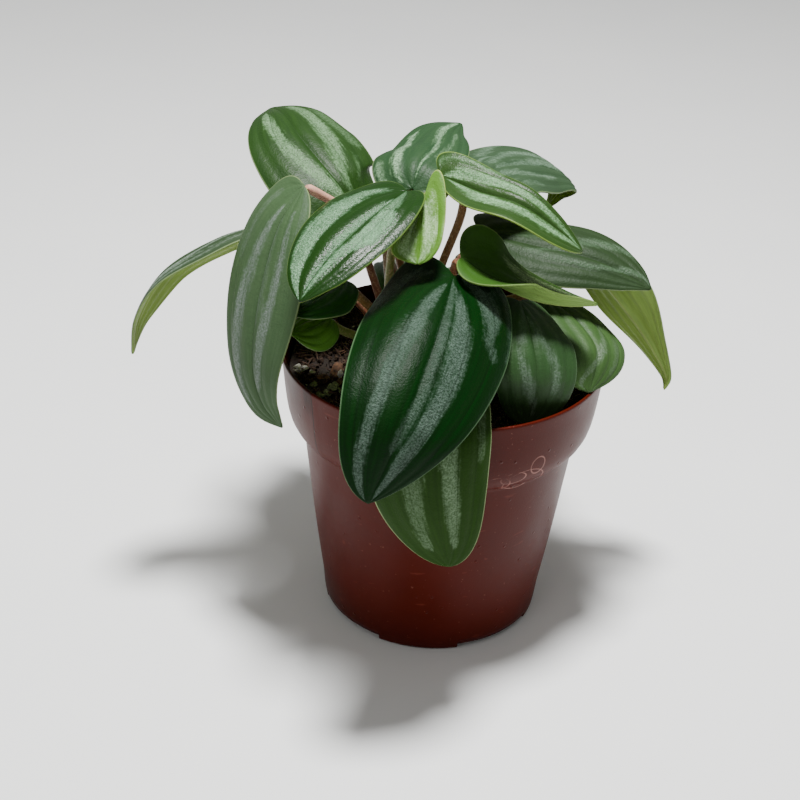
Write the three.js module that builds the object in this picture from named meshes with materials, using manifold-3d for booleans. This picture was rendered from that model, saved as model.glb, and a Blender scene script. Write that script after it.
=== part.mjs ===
import * as THREE from "three";
import Module from "manifold-3d";
import { mergeVertices } from "three/addons/utils/BufferGeometryUtils.js";

// Potted peperomia: silver-striped cordate leaves on reddish petioles, growing from dark potting
// mix in a thin terracotta-red nursery pot. Millimetres, +Z up, origin at the centre of the base.

// Driving dimensions of the pot and the soil
const RIM_RADIUS = 52.5;
const RIM_HEIGHT = 94;
const BAND_LOW = 68;
const BAND_LOW_RADIUS = 46;
const BODY_TOP_RADIUS = 44.8;
const BASE_RADIUS = 36.4;
const WALL = 1.0;
const FLOOR = 4;
const FOOT_HEIGHT = 2.2;
const FOOT_SPAN = 45;
const FOOT_FIRST = 264;
const SOIL_LEVEL = 87.5;
const SOIL_RELIEF = 1.6;
const POT_TURNS = 60;
const GAP = 0.3;

// Driving dimensions shared by all leaves
const BLADE_THICKNESS = 1.0;
const MARGIN_THICKNESS = 0.64;
const PETIOLE_RADIUS = 1.4;
const PETIOLE_DEPTH = 10;
const PUFF = 0.5;
const WAVES = 2;
const VEINS = [0, 0.38, 0.72, 1];

// Every leaf. Its petiole: radius, where it leaves the soil, how high it rises, how it comes in.
// Its blade: midrib from junction to tip, the way the upper face looks along it, the width, and
// the curl and fold of the left and right half in degrees, from junction to tip. Then the outline
// of each half (basal lobe, low and high breadth, shoulder) and the depth of the margin's waves.
const LEAVES = [
  {
    name: "front_leaf",
    color: "#2c5136",
    stalkColor: "#8a5a3c",
    stalk: 1.4,
    root: [-3, -2.5],
    rise: 0.35,
    approach: [0.1, -0.4, 0.9],
    midrib: [[1, -23, 130.5], [-3.5, -51, 125], [-11.5, -74, 109], [-21, -80, 85.5]],
    facing: [[0.06, -0.59, 0.81], [0.16, -0.89, 0.43]],
    width: 47,
    curl: [[41, 23], [46, 24]],
    fold: [[5, 6], [3, -6]],
    left: [-0.38, 1.07, 1.05, 0.68],
    right: [-0.55, 0.99, 1.03, 0.96],
    wave: 0.3,
  },
  {
    name: "low_front_leaf",
    color: "#4d7040",
    stalkColor: "#8a6a3c",
    stalk: 1.4,
    root: [5.5, 1],
    rise: 0.3,
    approach: [-0.2, -0.6, 0.8],
    midrib: [
      [-2.5, -25, 110.5],
      [-2.5, -49.5, 106.5],
      [-2.5, -62.5, 97.5],
      [-1, -66, 78],
      [3.5, -65, 54.5],
    ],
    facing: [[0.18, -0.57, 0.8], [0.02, -1, 0.08]],
    width: 39.5,
    curl: [[31, 24], [28, 21]],
    fold: [[4, 5], [-2, 11]],
    left: [-0.42, 0.91, 0.95, 1.04],
    right: [-0.38, 1.08, 1.26, 0.94],
    wave: 0.5,
  },
  {
    name: "left_leaf",
    color: "#5c7a58",
    stalkColor: "#b98a72",
    stalk: 1.4,
    root: [-15, 16],
    rise: 0.55,
    approach: [-0.7, -0.5, 0.6],
    midrib: [
      [-45, -8, 151],
      [-52.5, -14.5, 139.5],
      [-57.5, -21.5, 119.5],
      [-59, -26, 100.5],
      [-56, -28, 87.5],
      [-49.5, -29.5, 79],
    ],
    facing: [[-0.52, -0.5, 0.7], [-0.75, -0.64, 0.18]],
    width: 35.5,
    curl: [[43, 29], [40, 26]],
    fold: [[-9, -5], [-8, -8]],
    left: [0.06, 0.84, 0.89, 0.72],
    right: [-0.14, 1.02, 0.98, 0.73],
    wave: 0.5,
  },
  {
    name: "glossy_leaf",
    color: "#6f9468",
    stalkColor: "#7d8f4a",
    stalk: 1.4,
    root: [-18.5, 0],
    rise: 0.25,
    approach: [0.3, -0.7, 0.7],
    midrib: [
      [-14, -11, 152],
      [-21.5, -22, 150.5],
      [-32, -35.5, 145.5],
      [-39.5, -45, 138.5],
      [-43, -50.5, 133],
    ],
    facing: [[-0.2, -0.35, 0.9], [-0.33, -0.7, 0.63]],
    width: 37,
    curl: [[31, 35], [29, 34]],
    fold: [[-14, -3], [-6, -2]],
    left: [-0.2, 0.46, 0.85, 0.74],
    right: [-0.25, 0.9, 1.05, 0.75],
    wave: 0.3,
  },
  {
    name: "rear_left_leaf",
    color: "#4f7350",
    stalkColor: "#a0705a",
    stalk: 1.4,
    root: [-18.5, 10.5],
    rise: 0.35,
    approach: [-0.1, 0, 1],
    midrib: [
      [-28.5, 9, 136],
      [-37, 11.5, 146],
      [-48.5, 25, 153.5],
      [-55.5, 41, 155.5],
      [-61, 55.5, 152.5],
    ],
    facing: [[0.3, -0.53, 0.79], [-0.12, -0.26, 0.96]],
    width: 43.5,
    curl: [[30, 25], [30, 25]],
    fold: [[0, -1], [3, 0]],
    left: [-0.32, 0.95, 0.82, 0.7],
    right: [-0.13, 0.94, 0.91, 0.72],
    wave: 0.5,
  },
  {
    name: "rear_centre_leaf",
    color: "#557a58",
    stalkColor: "#8a7a4a",
    stalk: 1.4,
    root: [-15, 3.5],
    rise: 0.35,
    approach: [0.8, -0.3, 0.6],
    midrib: [
      [-12.5, 2.5, 147.5],
      [-11, 8, 153],
      [-6.5, 19.5, 155],
      [-3, 33.5, 155.5],
      [2.5, 43.5, 154.5],
    ],
    facing: [[-0.21, -0.75, 0.62], [-0.12, -0.3, 0.95]],
    width: 35,
    curl: [[30, 31], [30, 30]],
    fold: [[1, 2], [0, 2]],
    left: [-0.23, 0.97, 0.95, 0.73],
    right: [-0.3, 0.85, 0.6, 0.69],
    wave: 0.6,
  },
  {
    name: "young_curled_leaf",
    color: "#8fae62",
    stalkColor: "#93a05a",
    stalk: 1,
    root: [-9.5, 2.5],
    rise: 0.35,
    approach: [-0.2, -0.5, 0.6],
    midrib: [[-9, -14.5, 150], [-9.5, -18.5, 145.5], [-9.5, -24, 141.5], [-10, -28.5, 136.5]],
    facing: [[0.05, -0.88, 0.5], [0, -0.9, 0.4]],
    width: 19.5,
    curl: [[-45, -20], [-10, -20]],
    fold: [[-6, -4], [26, 0, -4]],
    left: [-1.6, 0.12, 1.22, 0.8],
    right: [0.45, 0.2, 1.35, 1],
    wave: 0.3,
  },
  {
    name: "young_channelled_leaf",
    color: "#7da067",
    stalkColor: "#8d9a55",
    stalk: 1.1,
    root: [-8, -2],
    rise: 0.35,
    approach: [0.7, 0, 0.7],
    midrib: [
      [-4, -2.5, 154],
      [7.5, -10, 152.5],
      [19.5, -16, 151.5],
      [30.5, -19, 145.5],
      [39, -20, 139],
    ],
    facing: [[-0.1, -0.3, 0.95], [0.1, -0.25, 0.95], [0.24, -0.19, 0.95]],
    width: 25.5,
    curl: [[20, 10], [20, 10]],
    fold: [[-30, -12], [-22, -12]],
    left: [-0.45, 1, 0.4, 0.95],
    right: [0.12, 0.92, 0.95, 0.9],
    wave: 0.4,
  },
  {
    name: "rear_right_leaf",
    color: "#5f7d5c",
    stalkColor: "#8a5340",
    stalk: 1.4,
    root: [-6, 8],
    rise: 0.6,
    approach: [-0.1, -0.4, 0.9],
    midrib: [
      [4, 7.5, 148],
      [16, 22.5, 148.5],
      [29.5, 36.5, 143.5],
      [38.5, 42, 137.5],
      [36.5, 41, 132.5],
      [32.5, 37, 129],
    ],
    facing: [[-0.03, -0.42, 0.91], [-0.09, -0.32, 0.94], [0.47, 0.01, 0.88], [0.79, 0.58, -0.19]],
    width: 35.5,
    curl: [[20, 20], [20, 20]],
    fold: [[0, 0], [0, 0]],
    left: [-0.31, 0.99, 0.98, 0.71],
    right: [-0.36, 0.91, 0.86, 0.67],
    wave: 0.5,
  },
  {
    name: "right_leaf",
    color: "#4a6a4a",
    stalkColor: "#9a6a4c",
    stalk: 1.4,
    root: [0, 5.5],
    rise: 0.4,
    approach: [0.7, -0.1, 0.7],
    midrib: [[10, 4, 133], [25, 4, 130], [44, 2.5, 127], [56.5, 0.5, 122.5], [64, -1.5, 119]],
    facing: [[0.11, -0.27, 0.96], [0.31, -0.53, 0.79]],
    width: 37,
    curl: [[35, 30], [35, 30]],
    fold: [[0, -1], [-1, -1]],
    left: [-0.29, 1.01, 0.97, 0.71],
    right: [-0.32, 0.9, 0.7, 0.69],
    wave: 0.5,
  },
  {
    name: "right_hanging_leaf",
    color: "#7f9238",
    stalkColor: "#b08a62",
    stalk: 1.4,
    root: [-4.5, 21.5],
    rise: 0.25,
    approach: [0.5, 0, 0.9],
    midrib: [
      [46, 24, 116],
      [56.5, 24.5, 104.5],
      [66, 24, 93],
      [72.5, 22.5, 84],
      [77, 21, 76],
      [76.5, 20, 71.5],
    ],
    facing: [[0.5, 0.75, 0.4], [0.55, 0.75, 0.35]],
    width: 38,
    curl: [[18, 15], [15, 20]],
    fold: [[-14, -4], [-6, -6]],
    left: [-0.2, 0.85, 0.38, 0.72],
    right: [-0.31, 1.6, 0.2, 0.66],
    wave: 0.9,
  },
  {
    name: "twisted_leaf",
    color: "#4f6a2c",
    stalkColor: "#8a5a40",
    stalk: 1.4,
    root: [1, 0],
    rise: 0.3,
    approach: [0.1, -0.8, 0.6],
    midrib: [
      [3, -18.5, 134.5],
      [12.5, -21, 129],
      [24.5, -21.5, 124],
      [35, -22, 122.5],
      [45, -23, 123.5],
    ],
    facing: [[0, -0.05, 1], [0, -0.05, 1], [-0.1, 0.1, 0.98]],
    width: 28.5,
    curl: [[-12, 14, 10], [15, 20, 5]],
    fold: [[-42, -20, -4], [-2, -54, -50]],
    left: [-0.4, 1.02, 0.82, 0.7],
    right: [-0.1, 0.8, 0.78, 0.72],
    wave: 0.8,
  },
  {
    name: "inner_right_leaf",
    color: "#3d5c40",
    stalkColor: "#9a6a4c",
    stalk: 1.4,
    root: [7.5, 5.5],
    rise: 0.35,
    approach: [0.3, -0.5, 0.8],
    midrib: [[22, -14.5, 119], [25.5, -28.5, 114], [27.5, -35.5, 103.5], [26, -35, 88]],
    facing: [[0.43, -0.63, 0.65], [0.2, -0.94, 0.28]],
    width: 29,
    curl: [[8, 14], [35, 25]],
    fold: [[8, 0], [2, -1]],
    left: [-0.35, 0.94, 1.1, 1.05],
    right: [-0.25, 0.93, 0.95, 1.05],
    wave: 0.5,
  },
  {
    name: "rim_leaf",
    color: "#5a7550",
    stalkColor: "#9a6a4c",
    stalk: 1.4,
    root: [6, 14],
    rise: 0.35,
    approach: [0.6, -0.3, 0.8],
    midrib: [[32, 1.5, 112.5], [41, -6.5, 109.5], [47, -18, 104.5], [45, -25.5, 94.5]],
    facing: [[0.37, -0.05, 0.93], [0.45, -0.66, 0.6]],
    width: 34,
    curl: [[30, 25], [45, 35]],
    fold: [[0, 0], [0, 0]],
    left: [-0.33, 0.99, 0.96, 0.65],
    right: [-0.15, 0.79, 0.85, 1.09],
    wave: 0.5,
  },
  {
    name: "far_left_leaf",
    color: "#5d7c52",
    stalkColor: "#9c6248",
    stalk: 1.4,
    root: [-20.5, 5],
    rise: 0.4,
    approach: [-0.7, 0.1, 0.7],
    midrib: [
      [-59.5, 11.5, 129],
      [-73, 9, 124.5],
      [-89.5, 6, 114],
      [-98.5, 2, 99.5],
      [-100.5, -2.5, 88],
    ],
    facing: [[-0.19, 0.44, 0.88], [-0.66, 0.37, 0.65]],
    width: 26.5,
    curl: [[28, 27], [27, 26]],
    fold: [[4, 4], [4, 3]],
    left: [-0.31, 1.02, 0.96, 0.71],
    right: [-0.3, 1.02, 0.98, 0.72],
    wave: 0.5,
  },
  {
    name: "shaded_leaf",
    color: "#1f3d20",
    stalkColor: "#8a6a3c",
    stalk: 1.4,
    root: [-12.5, -1],
    rise: 0.25,
    approach: [-0.5, -0.4, 0.7],
    midrib: [[-31.5, -12, 122], [-36.5, -17, 120.5], [-41.5, -22, 119], [-47, -26, 116.5]],
    facing: [[-0.3, -0.1, 0.95], [-0.3, -0.4, 0.87]],
    width: 24,
    curl: [[45, 45], [30, 25]],
    fold: [[0, 0], [0, 0]],
    left: [-0.1, 0.8, 0.85, 0.73],
    right: [-0.2, 0.9, 0.96, 0.73],
    wave: 0.5,
  },
  {
    name: "small_low_leaf",
    color: "#3d5c22",
    stalkColor: "#7d8f4a",
    stalk: 1.4,
    root: [-7, -6.5],
    rise: 0.35,
    approach: [-0.5, -0.4, 0.8],
    midrib: [[-36, -14, 110], [-41, -18.5, 109], [-47.5, -22, 108]],
    facing: [[0, -0.3, 0.95], [-0.2, -0.4, 0.9]],
    width: 17,
    curl: [[50, 60], [25, 25]],
    fold: [[0, 0], [0, 0]],
    left: [-0.1, 0.9, 1.05, 0.85],
    right: [-0.2, 0.9, 1, 0.8],
    wave: 0.5,
  },
  {
    name: "back_left_leaf",
    color: "#4f7350",
    stalkColor: "#a0705a",
    stalk: 1.4,
    root: [-10, 11.5],
    rise: 0.35,
    approach: [-0.3, 0.6, 0.8],
    midrib: [[-18, 22, 124], [-32, 40, 124], [-44, 58, 114], [-50, 72, 100]],
    facing: [[-0.2, 0.2, 0.95], [-0.4, 0.6, 0.7]],
    width: 32,
    curl: [[30, 25], [30, 25]],
    fold: [[0, 0], [0, 0]],
    left: [-0.3, 1, 0.95, 0.72],
    right: [-0.3, 1, 0.95, 0.72],
    wave: 0.5,
  },
  {
    name: "back_leaf",
    color: "#4a6a4a",
    stalkColor: "#9a6a4c",
    stalk: 1.4,
    root: [-6, 14.5],
    rise: 0.35,
    approach: [-0.3, 0.6, 0.7],
    midrib: [[-10, 26, 99], [-13, 42, 102.5], [-16, 58, 97], [-17, 68, 84]],
    facing: [[0, 0.2, 0.95], [0, 0.7, 0.7]],
    width: 23,
    curl: [[30, 25], [30, 25]],
    fold: [[0, 0], [0, 0]],
    left: [-0.3, 1, 0.95, 0.72],
    right: [-0.3, 1, 0.95, 0.72],
    wave: 0.5,
  },
  {
    name: "back_right_leaf",
    color: "#557a58",
    stalkColor: "#9a6a4c",
    stalk: 1.4,
    root: [3, 10],
    rise: 0.35,
    approach: [0.1, 0.3, 0.9],
    midrib: [[12, 28, 112], [23, 42, 111], [32, 56, 101], [37, 65, 87]],
    facing: [[0.2, 0.2, 0.95], [0.5, 0.6, 0.6]],
    width: 30,
    curl: [[30, 25], [30, 25]],
    fold: [[0, 0], [0, 0]],
    left: [-0.3, 1, 0.95, 0.72],
    right: [-0.3, 1, 0.95, 0.72],
    wave: 0.5,
  },
  {
    name: "low_back_leaf",
    color: "#4a6a4a",
    stalkColor: "#9a6a4c",
    stalk: 1.4,
    root: [0.5, 15.5],
    rise: 0.4,
    approach: [0.1, 0.7, 0.7],
    midrib: [[4, 32, 95], [8, 46, 101], [12, 61, 94], [14, 69, 81]],
    facing: [[0, 0.2, 0.95], [0.2, 0.7, 0.7]],
    width: 21,
    curl: [[30, 25], [30, 25]],
    fold: [[0, 0], [0, 0]],
    left: [-0.3, 1, 0.95, 0.72],
    right: [-0.3, 1, 0.95, 0.72],
    wave: 0.5,
  },
];

const unit = (v) => v.clone().normalize();
const clamp = (v, low, high) => Math.min(high, Math.max(low, v));

// Evenly spaced frames along a smooth line through the given points.
function ridgeLine(points, steps) {
  const p = points.map((q) => new THREE.Vector3(...q));
  const last = p.length - 1;
  const before = p[0].clone().multiplyScalar(2).sub(p[1]);
  const after = p[last].clone().multiplyScalar(2).sub(p[last - 1]);
  const ends = [before, ...p, after];
  const fine = [];
  for (let i = 0; i < last; i += 1) {
    const [a, b, c, d] = ends.slice(i, i + 4);
    for (let k = 0; k < 40; k += 1) {
      const s = k / 40;
      const q = b.clone().multiplyScalar(2);
      q.addScaledVector(c.clone().sub(a), s);
      const square = a.clone().multiplyScalar(2).addScaledVector(b, -5).addScaledVector(c, 4).sub(d);
      q.addScaledVector(square, s * s);
      const cube = b.clone().multiplyScalar(3).sub(a).addScaledVector(c, -3).add(d);
      q.addScaledVector(cube, s * s * s);
      fine.push(q.multiplyScalar(0.5));
    }
  }
  fine.push(p[last].clone());
  const run = [0];
  for (let i = 1; i < fine.length; i += 1) run.push(run[i - 1] + fine[i].distanceTo(fine[i - 1]));
  const length = run[run.length - 1];
  const line = [];
  let seat = 0;
  for (let k = 0; k <= steps; k += 1) {
    const want = (length * k) / steps;
    while (seat < fine.length - 2 && run[seat + 1] < want) seat += 1;
    const part = (want - run[seat]) / (run[seat + 1] - run[seat]);
    line.push(fine[seat].clone().lerp(fine[seat + 1], clamp(part, 0, 1)));
  }
  return { line, length };
}

function between(values, u) {
  const x = clamp(u, 0, 1) * (values.length - 1);
  const i = Math.min(values.length - 2, Math.floor(x));
  return values[i] + (values[i + 1] - values[i]) * (x - i);
}

// Middle surface of a blade: rows run from the junction to the tip, all veins meeting at both ends.
function bladeSurface(leaf, rows, columns) {
  const steps = 200;
  const { line, length } = ridgeLine(leaf.midrib, steps);
  const frames = line.map((at, i) => {
    const along = line[Math.min(steps, i + 1)].clone().sub(line[Math.max(0, i - 1)]).normalize();
    const turn = (k) => between(leaf.facing.map((f) => f[k]), i / steps);
    const face = new THREE.Vector3(turn(0), turn(1), turn(2));
    face.addScaledVector(along, -face.dot(along)).normalize();
    return { at, along, face, side: along.clone().cross(face) };
  });
  const grid = [];
  for (let i = 0; i <= rows; i += 1) {
    const s = i / rows;
    const row = [];
    for (let j = 0; j <= columns; j += 1) {
      const t = (2 * j) / columns - 1;
      const a = Math.abs(t);
      const half = t > 0 ? 1 : 0;
      const [lobe, wideLow, wideHigh, shoulder] = half ? leaf.right : leaf.left;
      const reach = leaf.width * 0.667;
      const y1 = 1 / 3 + (lobe - 1 / 3) * a ** 1.3;
      const y2 = 2 / 3 + (shoulder - 2 / 3) * a;
      const x = 3 * s * (1 - s) ** 2 * wideLow * reach * t + 3 * s * s * (1 - s) * wideHigh * reach * t;
      const y = 3 * s * (1 - s) ** 2 * y1 + 3 * s * s * (1 - s) * y2 + s ** 3;
      const u = clamp(y, 0, 1);
      const fold = THREE.MathUtils.degToRad(between(leaf.fold[half], u));
      const curl = THREE.MathUtils.degToRad(between(leaf.curl[half], u));
      const bend = (Math.abs(curl) < 0.001 ? 0.001 : curl) / (leaf.width / 2);
      const out = Math.abs(x);
      const across = ((Math.sin(fold + bend * out) - Math.sin(fold)) / bend) * Math.sign(x);
      let lift = -(Math.cos(fold) - Math.cos(fold + bend * out)) / bend;
      const band = a < VEINS[1] ? 0 : a < VEINS[2] ? 1 : 2;
      const phase = (a - VEINS[band]) / (VEINS[band + 1] - VEINS[band]);
      const swell = Math.sin(Math.PI * s) ** 0.6;
      lift += PUFF * Math.sin(Math.PI * phase) * swell * (1 - 0.3 * band);
      const ripple = Math.sin(2 * Math.PI * WAVES * s + 1) * Math.sin(Math.PI * s);
      lift += leaf.wave * ripple * Math.sign(t) * a * a;
      const f = frames[Math.round(u * steps)];
      const point = f.at.clone();
      point.addScaledVector(f.along, Math.min(y, 0) * length);
      point.addScaledVector(f.side, across);
      point.addScaledVector(f.face, lift);
      row.push(point);
    }
    grid.push(row);
  }
  return { grid, junction: frames[0], length };
}

// A closed blade: the middle surface thickened to both sides, thinner at the margin.
function bladeGeometry(leaf, rows, columns) {
  const { grid } = bladeSurface(leaf, rows, columns);
  const positions = [];
  const index = [];
  const normals = grid.map((row, i) => row.map((p, j) => {
    const r = clamp(i, 1, rows - 1);
    const down = grid[r + 1][j].clone().sub(grid[r - 1][j]);
    const over = grid[r][Math.min(columns, j + 1)].clone().sub(grid[r][Math.max(0, j - 1)]);
    return over.cross(down).normalize();
  }));
  const poleNormal = (row) => row.reduce((sum, n) => sum.add(n), new THREE.Vector3()).normalize();
  const ids = [[], []];
  for (let i = 0; i <= rows; i += 1) {
    for (const [face, sign] of [[0, 1], [1, -1]]) {
      const line = [];
      const pole = i === 0 || i === rows;
      const around = pole ? poleNormal(normals[i === 0 ? 1 : rows - 1]) : null;
      for (let j = 0; j <= columns; j += 1) {
        if (pole && j > 0) {
          line.push(line[0]);
          continue;
        }
        const edge = pole ? 1 : Math.abs((2 * j) / columns - 1) ** 6;
        const thick = BLADE_THICKNESS + (MARGIN_THICKNESS - BLADE_THICKNESS) * edge;
        const n = pole ? around : normals[i][j];
        const p = grid[i][j].clone().addScaledVector(n, (sign * thick) / 2);
        line.push(positions.length / 3);
        positions.push(p.x, p.y, p.z);
      }
      ids[face].push(line);
    }
  }
  const tri = (a, b, c) => {
    if (a !== b && b !== c && c !== a) index.push(a, b, c);
  };
  for (let i = 0; i < rows; i += 1) {
    for (let j = 0; j < columns; j += 1) {
      for (const face of [0, 1]) {
        const g = ids[face];
        const [a, b, c, d] = [g[i][j], g[i][j + 1], g[i + 1][j + 1], g[i + 1][j]];
        const quads = j < columns / 2 ? [[a, b, c], [a, c, d]] : [[a, b, d], [b, c, d]];
        for (const [p, q, r] of quads) {
          if (face === 0) tri(p, q, r);
          else tri(p, r, q);
        }
      }
    }
    for (const j of [0, columns]) {
      const [a, b] = [ids[0][i][j], ids[0][i + 1][j]];
      const [c, d] = [ids[1][i][j], ids[1][i + 1][j]];
      if (j === 0) {
        tri(a, b, d);
        tri(a, d, c);
      } else {
        tri(a, d, b);
        tri(a, c, d);
      }
    }
  }
  const geometry = new THREE.BufferGeometry();
  geometry.setAttribute("position", new THREE.Float32BufferAttribute(positions, 3));
  geometry.setIndex(index);
  return geometry;
}

// A petiole: a round tube that stands upright in its hole, arches over and ends under the junction.
function petioleGeometry(leaf) {
  const { junction } = bladeSurface(leaf, 4, 4);
  const radius = leaf.stalk || PETIOLE_RADIUS;
  const foot = new THREE.Vector3(leaf.root[0], leaf.root[1], SOIL_LEVEL - PETIOLE_DEPTH);
  const course = unit(new THREE.Vector3(...leaf.approach));
  const lean = Math.max(0, course.dot(junction.face));
  const seat = BLADE_THICKNESS / 2 + GAP + radius * (0.62 + 0.3 * lean);
  const head = junction.at.clone();
  head.addScaledVector(junction.face, -seat);
  head.addScaledVector(junction.along, -0.3);
  const ground = foot.clone().setZ(SOIL_LEVEL + 1);
  const span = head.distanceTo(ground);
  const arch = new THREE.CubicBezierCurve3(
    ground,
    ground.clone().setZ(ground.z + span * leaf.rise),
    head.clone().addScaledVector(course, -span * 0.35),
    head,
  );
  const rings = 6;
  const sides = 6;
  const stops = [foot];
  for (let i = 0; i <= rings; i += 1) stops.push(arch.getPointAt(i / rings));
  const last = stops.length - 1;
  const positions = [];
  const index = [];
  const point = (v) => {
    positions.push(v.x, v.y, v.z);
    return positions.length / 3 - 1;
  };
  const bands = [];
  let across = new THREE.Vector3(1, 0, 0);
  let ahead = new THREE.Vector3(0, 0, 1);
  const ring = (at, size) => {
    across.addScaledVector(ahead, -across.dot(ahead)).normalize();
    const over = ahead.clone().cross(across);
    const band = [];
    for (let j = 0; j < sides; j += 1) {
      const angle = (2 * Math.PI * j) / sides;
      const v = at.clone().addScaledVector(across, Math.cos(angle) * size);
      band.push(point(v.addScaledVector(over, Math.sin(angle) * size)));
    }
    bands.push(band);
  };
  stops.forEach((at, i) => {
    if (i > 1) ahead = unit(stops[Math.min(last, i + 1)].clone().sub(stops[i - 1]));
    ring(at, radius * (1 + 0.22 * Math.max(0, 1 - i / 3) ** 2));
  });
  ring(head.clone().addScaledVector(ahead, radius * 0.7), radius * 0.62);
  const start = point(foot);
  const end = point(head.clone().addScaledVector(ahead, radius * 0.95));
  for (let i = 0; i < bands.length - 1; i += 1) {
    for (let j = 0; j < sides; j += 1) {
      const k = (j + 1) % sides;
      index.push(bands[i][j], bands[i][k], bands[i + 1][k]);
      index.push(bands[i][j], bands[i + 1][k], bands[i + 1][j]);
    }
  }
  for (let j = 0; j < sides; j += 1) {
    const k = (j + 1) % sides;
    index.push(start, bands[0][k], bands[0][j]);
    index.push(end, bands[bands.length - 1][j], bands[bands.length - 1][k]);
  }
  const geometry = new THREE.BufferGeometry();
  geometry.setAttribute("position", new THREE.Float32BufferAttribute(positions, 3));
  geometry.setIndex(index);
  return geometry;
}

// Thin moulded pot: lathed wall with a wide band, and a floor with drain holes over four channels.
function potGeometry(api) {
  const outer = [
    [0, 0],
    [BASE_RADIUS - 0.7, 0],
    [BASE_RADIUS, 0.8],
    [37.4, 10],
    [40.3, 30],
    [42.8, 50],
    [BODY_TOP_RADIUS, BAND_LOW - 1],
    [BAND_LOW_RADIUS, BAND_LOW],
    [48.4, BAND_LOW + 2.4],
    [50.2, BAND_LOW + 7],
    [51.1, BAND_LOW + 14],
    [RIM_RADIUS - 0.2, RIM_HEIGHT - 0.8],
    [RIM_RADIUS - 0.1, RIM_HEIGHT],
  ];
  const inner = [
    [RIM_RADIUS - WALL - 0.1, RIM_HEIGHT],
    [51.1 - WALL, BAND_LOW + 14],
    [50.2 - WALL, BAND_LOW + 7],
    [48.4 - WALL, BAND_LOW + 3.2],
    [BODY_TOP_RADIUS - WALL, BAND_LOW],
    [42.8 - WALL, 50],
    [40.3 - WALL, 30],
    [37.4 - WALL, 10],
    [BASE_RADIUS - WALL - 0.6, FLOOR],
    [0, FLOOR],
  ];
  const profile = [...outer, ...inner].map(([r, z]) => new THREE.Vector2(r, z));
  const lathe = new THREE.LatheGeometry(profile, POT_TURNS);
  lathe.rotateX(Math.PI / 2);
  let pot = solid(api, lathe);
  for (let k = 0; k < 4; k += 1) {
    const angle = THREE.MathUtils.degToRad(FOOT_FIRST + 45 + 90 * k);
    const width = 2 * (BASE_RADIUS + 2) * Math.sin(THREE.MathUtils.degToRad((90 - FOOT_SPAN) / 2));
    const notch = new THREE.BoxGeometry(20, width, FOOT_HEIGHT * 2);
    notch.translate(BASE_RADIUS - 2, 0, 0);
    notch.rotateZ(angle);
    pot = pot.subtract(solid(api, notch));
    const drain = new THREE.CylinderGeometry(3.5, 3.5, 8, 12);
    drain.rotateX(Math.PI / 2);
    drain.translate(29, 0, 2);
    drain.rotateZ(angle);
    pot = pot.subtract(solid(api, drain));
  }
  return bare(pot);
}

function soilHeight(x, y) {
  const wave = Math.sin(x * 0.31 + 1.3) * Math.cos(y * 0.27) + 0.6 * Math.sin(x * 0.62 - y * 0.49);
  const lumps = 0.35 * Math.sin(x * 1.7 + y * 0.9) * Math.cos(y * 1.5 - x * 0.6);
  const hollow = 2.6 * Math.exp(-((x - 30) ** 2 + (y + 27) ** 2) / 392);
  return SOIL_LEVEL + SOIL_RELIEF * 0.5 * (wave + lumps) - hollow;
}

// Potting mix: fills the pot to just below the rim, uneven on top, with one plain hole per petiole.
function soilGeometry(api) {
  const rings = [8, 16, 24, 31, 38, 44, 49.4];
  const wall = [
    [50.2 - WALL - GAP, BAND_LOW + 7.6],
    [48.4 - WALL - GAP, BAND_LOW + 3.8],
    [BODY_TOP_RADIUS - WALL - GAP, BAND_LOW + 0.4],
    [42.8 - WALL - GAP, 50],
    [40.3 - WALL - GAP, 30],
    [37.4 - WALL - GAP, 10],
    [BASE_RADIUS - WALL - 0.6 - GAP, FLOOR + 0.6],
    [BASE_RADIUS - WALL - 1.2 - GAP, FLOOR + GAP],
  ];
  const profile = [[0, SOIL_LEVEL], ...rings.map((r) => [r, SOIL_LEVEL]), ...wall, [0, FLOOR + GAP]];
  const lathe = new THREE.LatheGeometry(profile.reverse().map(([r, z]) => new THREE.Vector2(r, z)), 40);
  lathe.rotateX(Math.PI / 2);
  const at = lathe.attributes.position;
  for (let i = 0; i < at.count; i += 1) {
    if (Math.abs(at.getZ(i) - SOIL_LEVEL) < 0.001) at.setZ(i, soilHeight(at.getX(i), at.getY(i)));
  }
  let soil = solid(api, lathe);
  for (const leaf of LEAVES) {
    const radius = (leaf.stalk || PETIOLE_RADIUS) * 1.25 + GAP;
    const hole = new THREE.CylinderGeometry(radius, radius, 30, 10);
    hole.rotateX(Math.PI / 2);
    hole.translate(leaf.root[0], leaf.root[1], SOIL_LEVEL - PETIOLE_DEPTH - GAP + 15);
    soil = soil.subtract(solid(api, hole));
  }
  return bare(soil);
}

function solid(api, geometry) {
  const plain = geometry.clone();
  plain.deleteAttribute("normal");
  plain.deleteAttribute("uv");
  const merged = mergeVertices(plain, 1e-4);
  const vertProperties = new Float32Array(merged.attributes.position.array);
  const triVerts = new Uint32Array(merged.index.array);
  return new api.Manifold(new api.Mesh({ numProp: 3, vertProperties, triVerts }));
}

function bare(body) {
  const mesh = body.getMesh();
  const geometry = new THREE.BufferGeometry();
  geometry.setAttribute("position", new THREE.BufferAttribute(mesh.vertProperties, 3));
  geometry.setIndex(new THREE.BufferAttribute(mesh.triVerts, 1));
  return geometry;
}

const api = await Module();
api.setup();

const plant = new THREE.Group();
plant.name = "potted_peperomia";

function add(name, geometry, color, roughness) {
  geometry.computeVertexNormals();
  const finish = { color, roughness, metalness: 0, flatShading: true };
  const material = new THREE.MeshStandardMaterial(finish);
  const mesh = new THREE.Mesh(geometry, material);
  mesh.name = name;
  plant.add(mesh);
}

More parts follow.
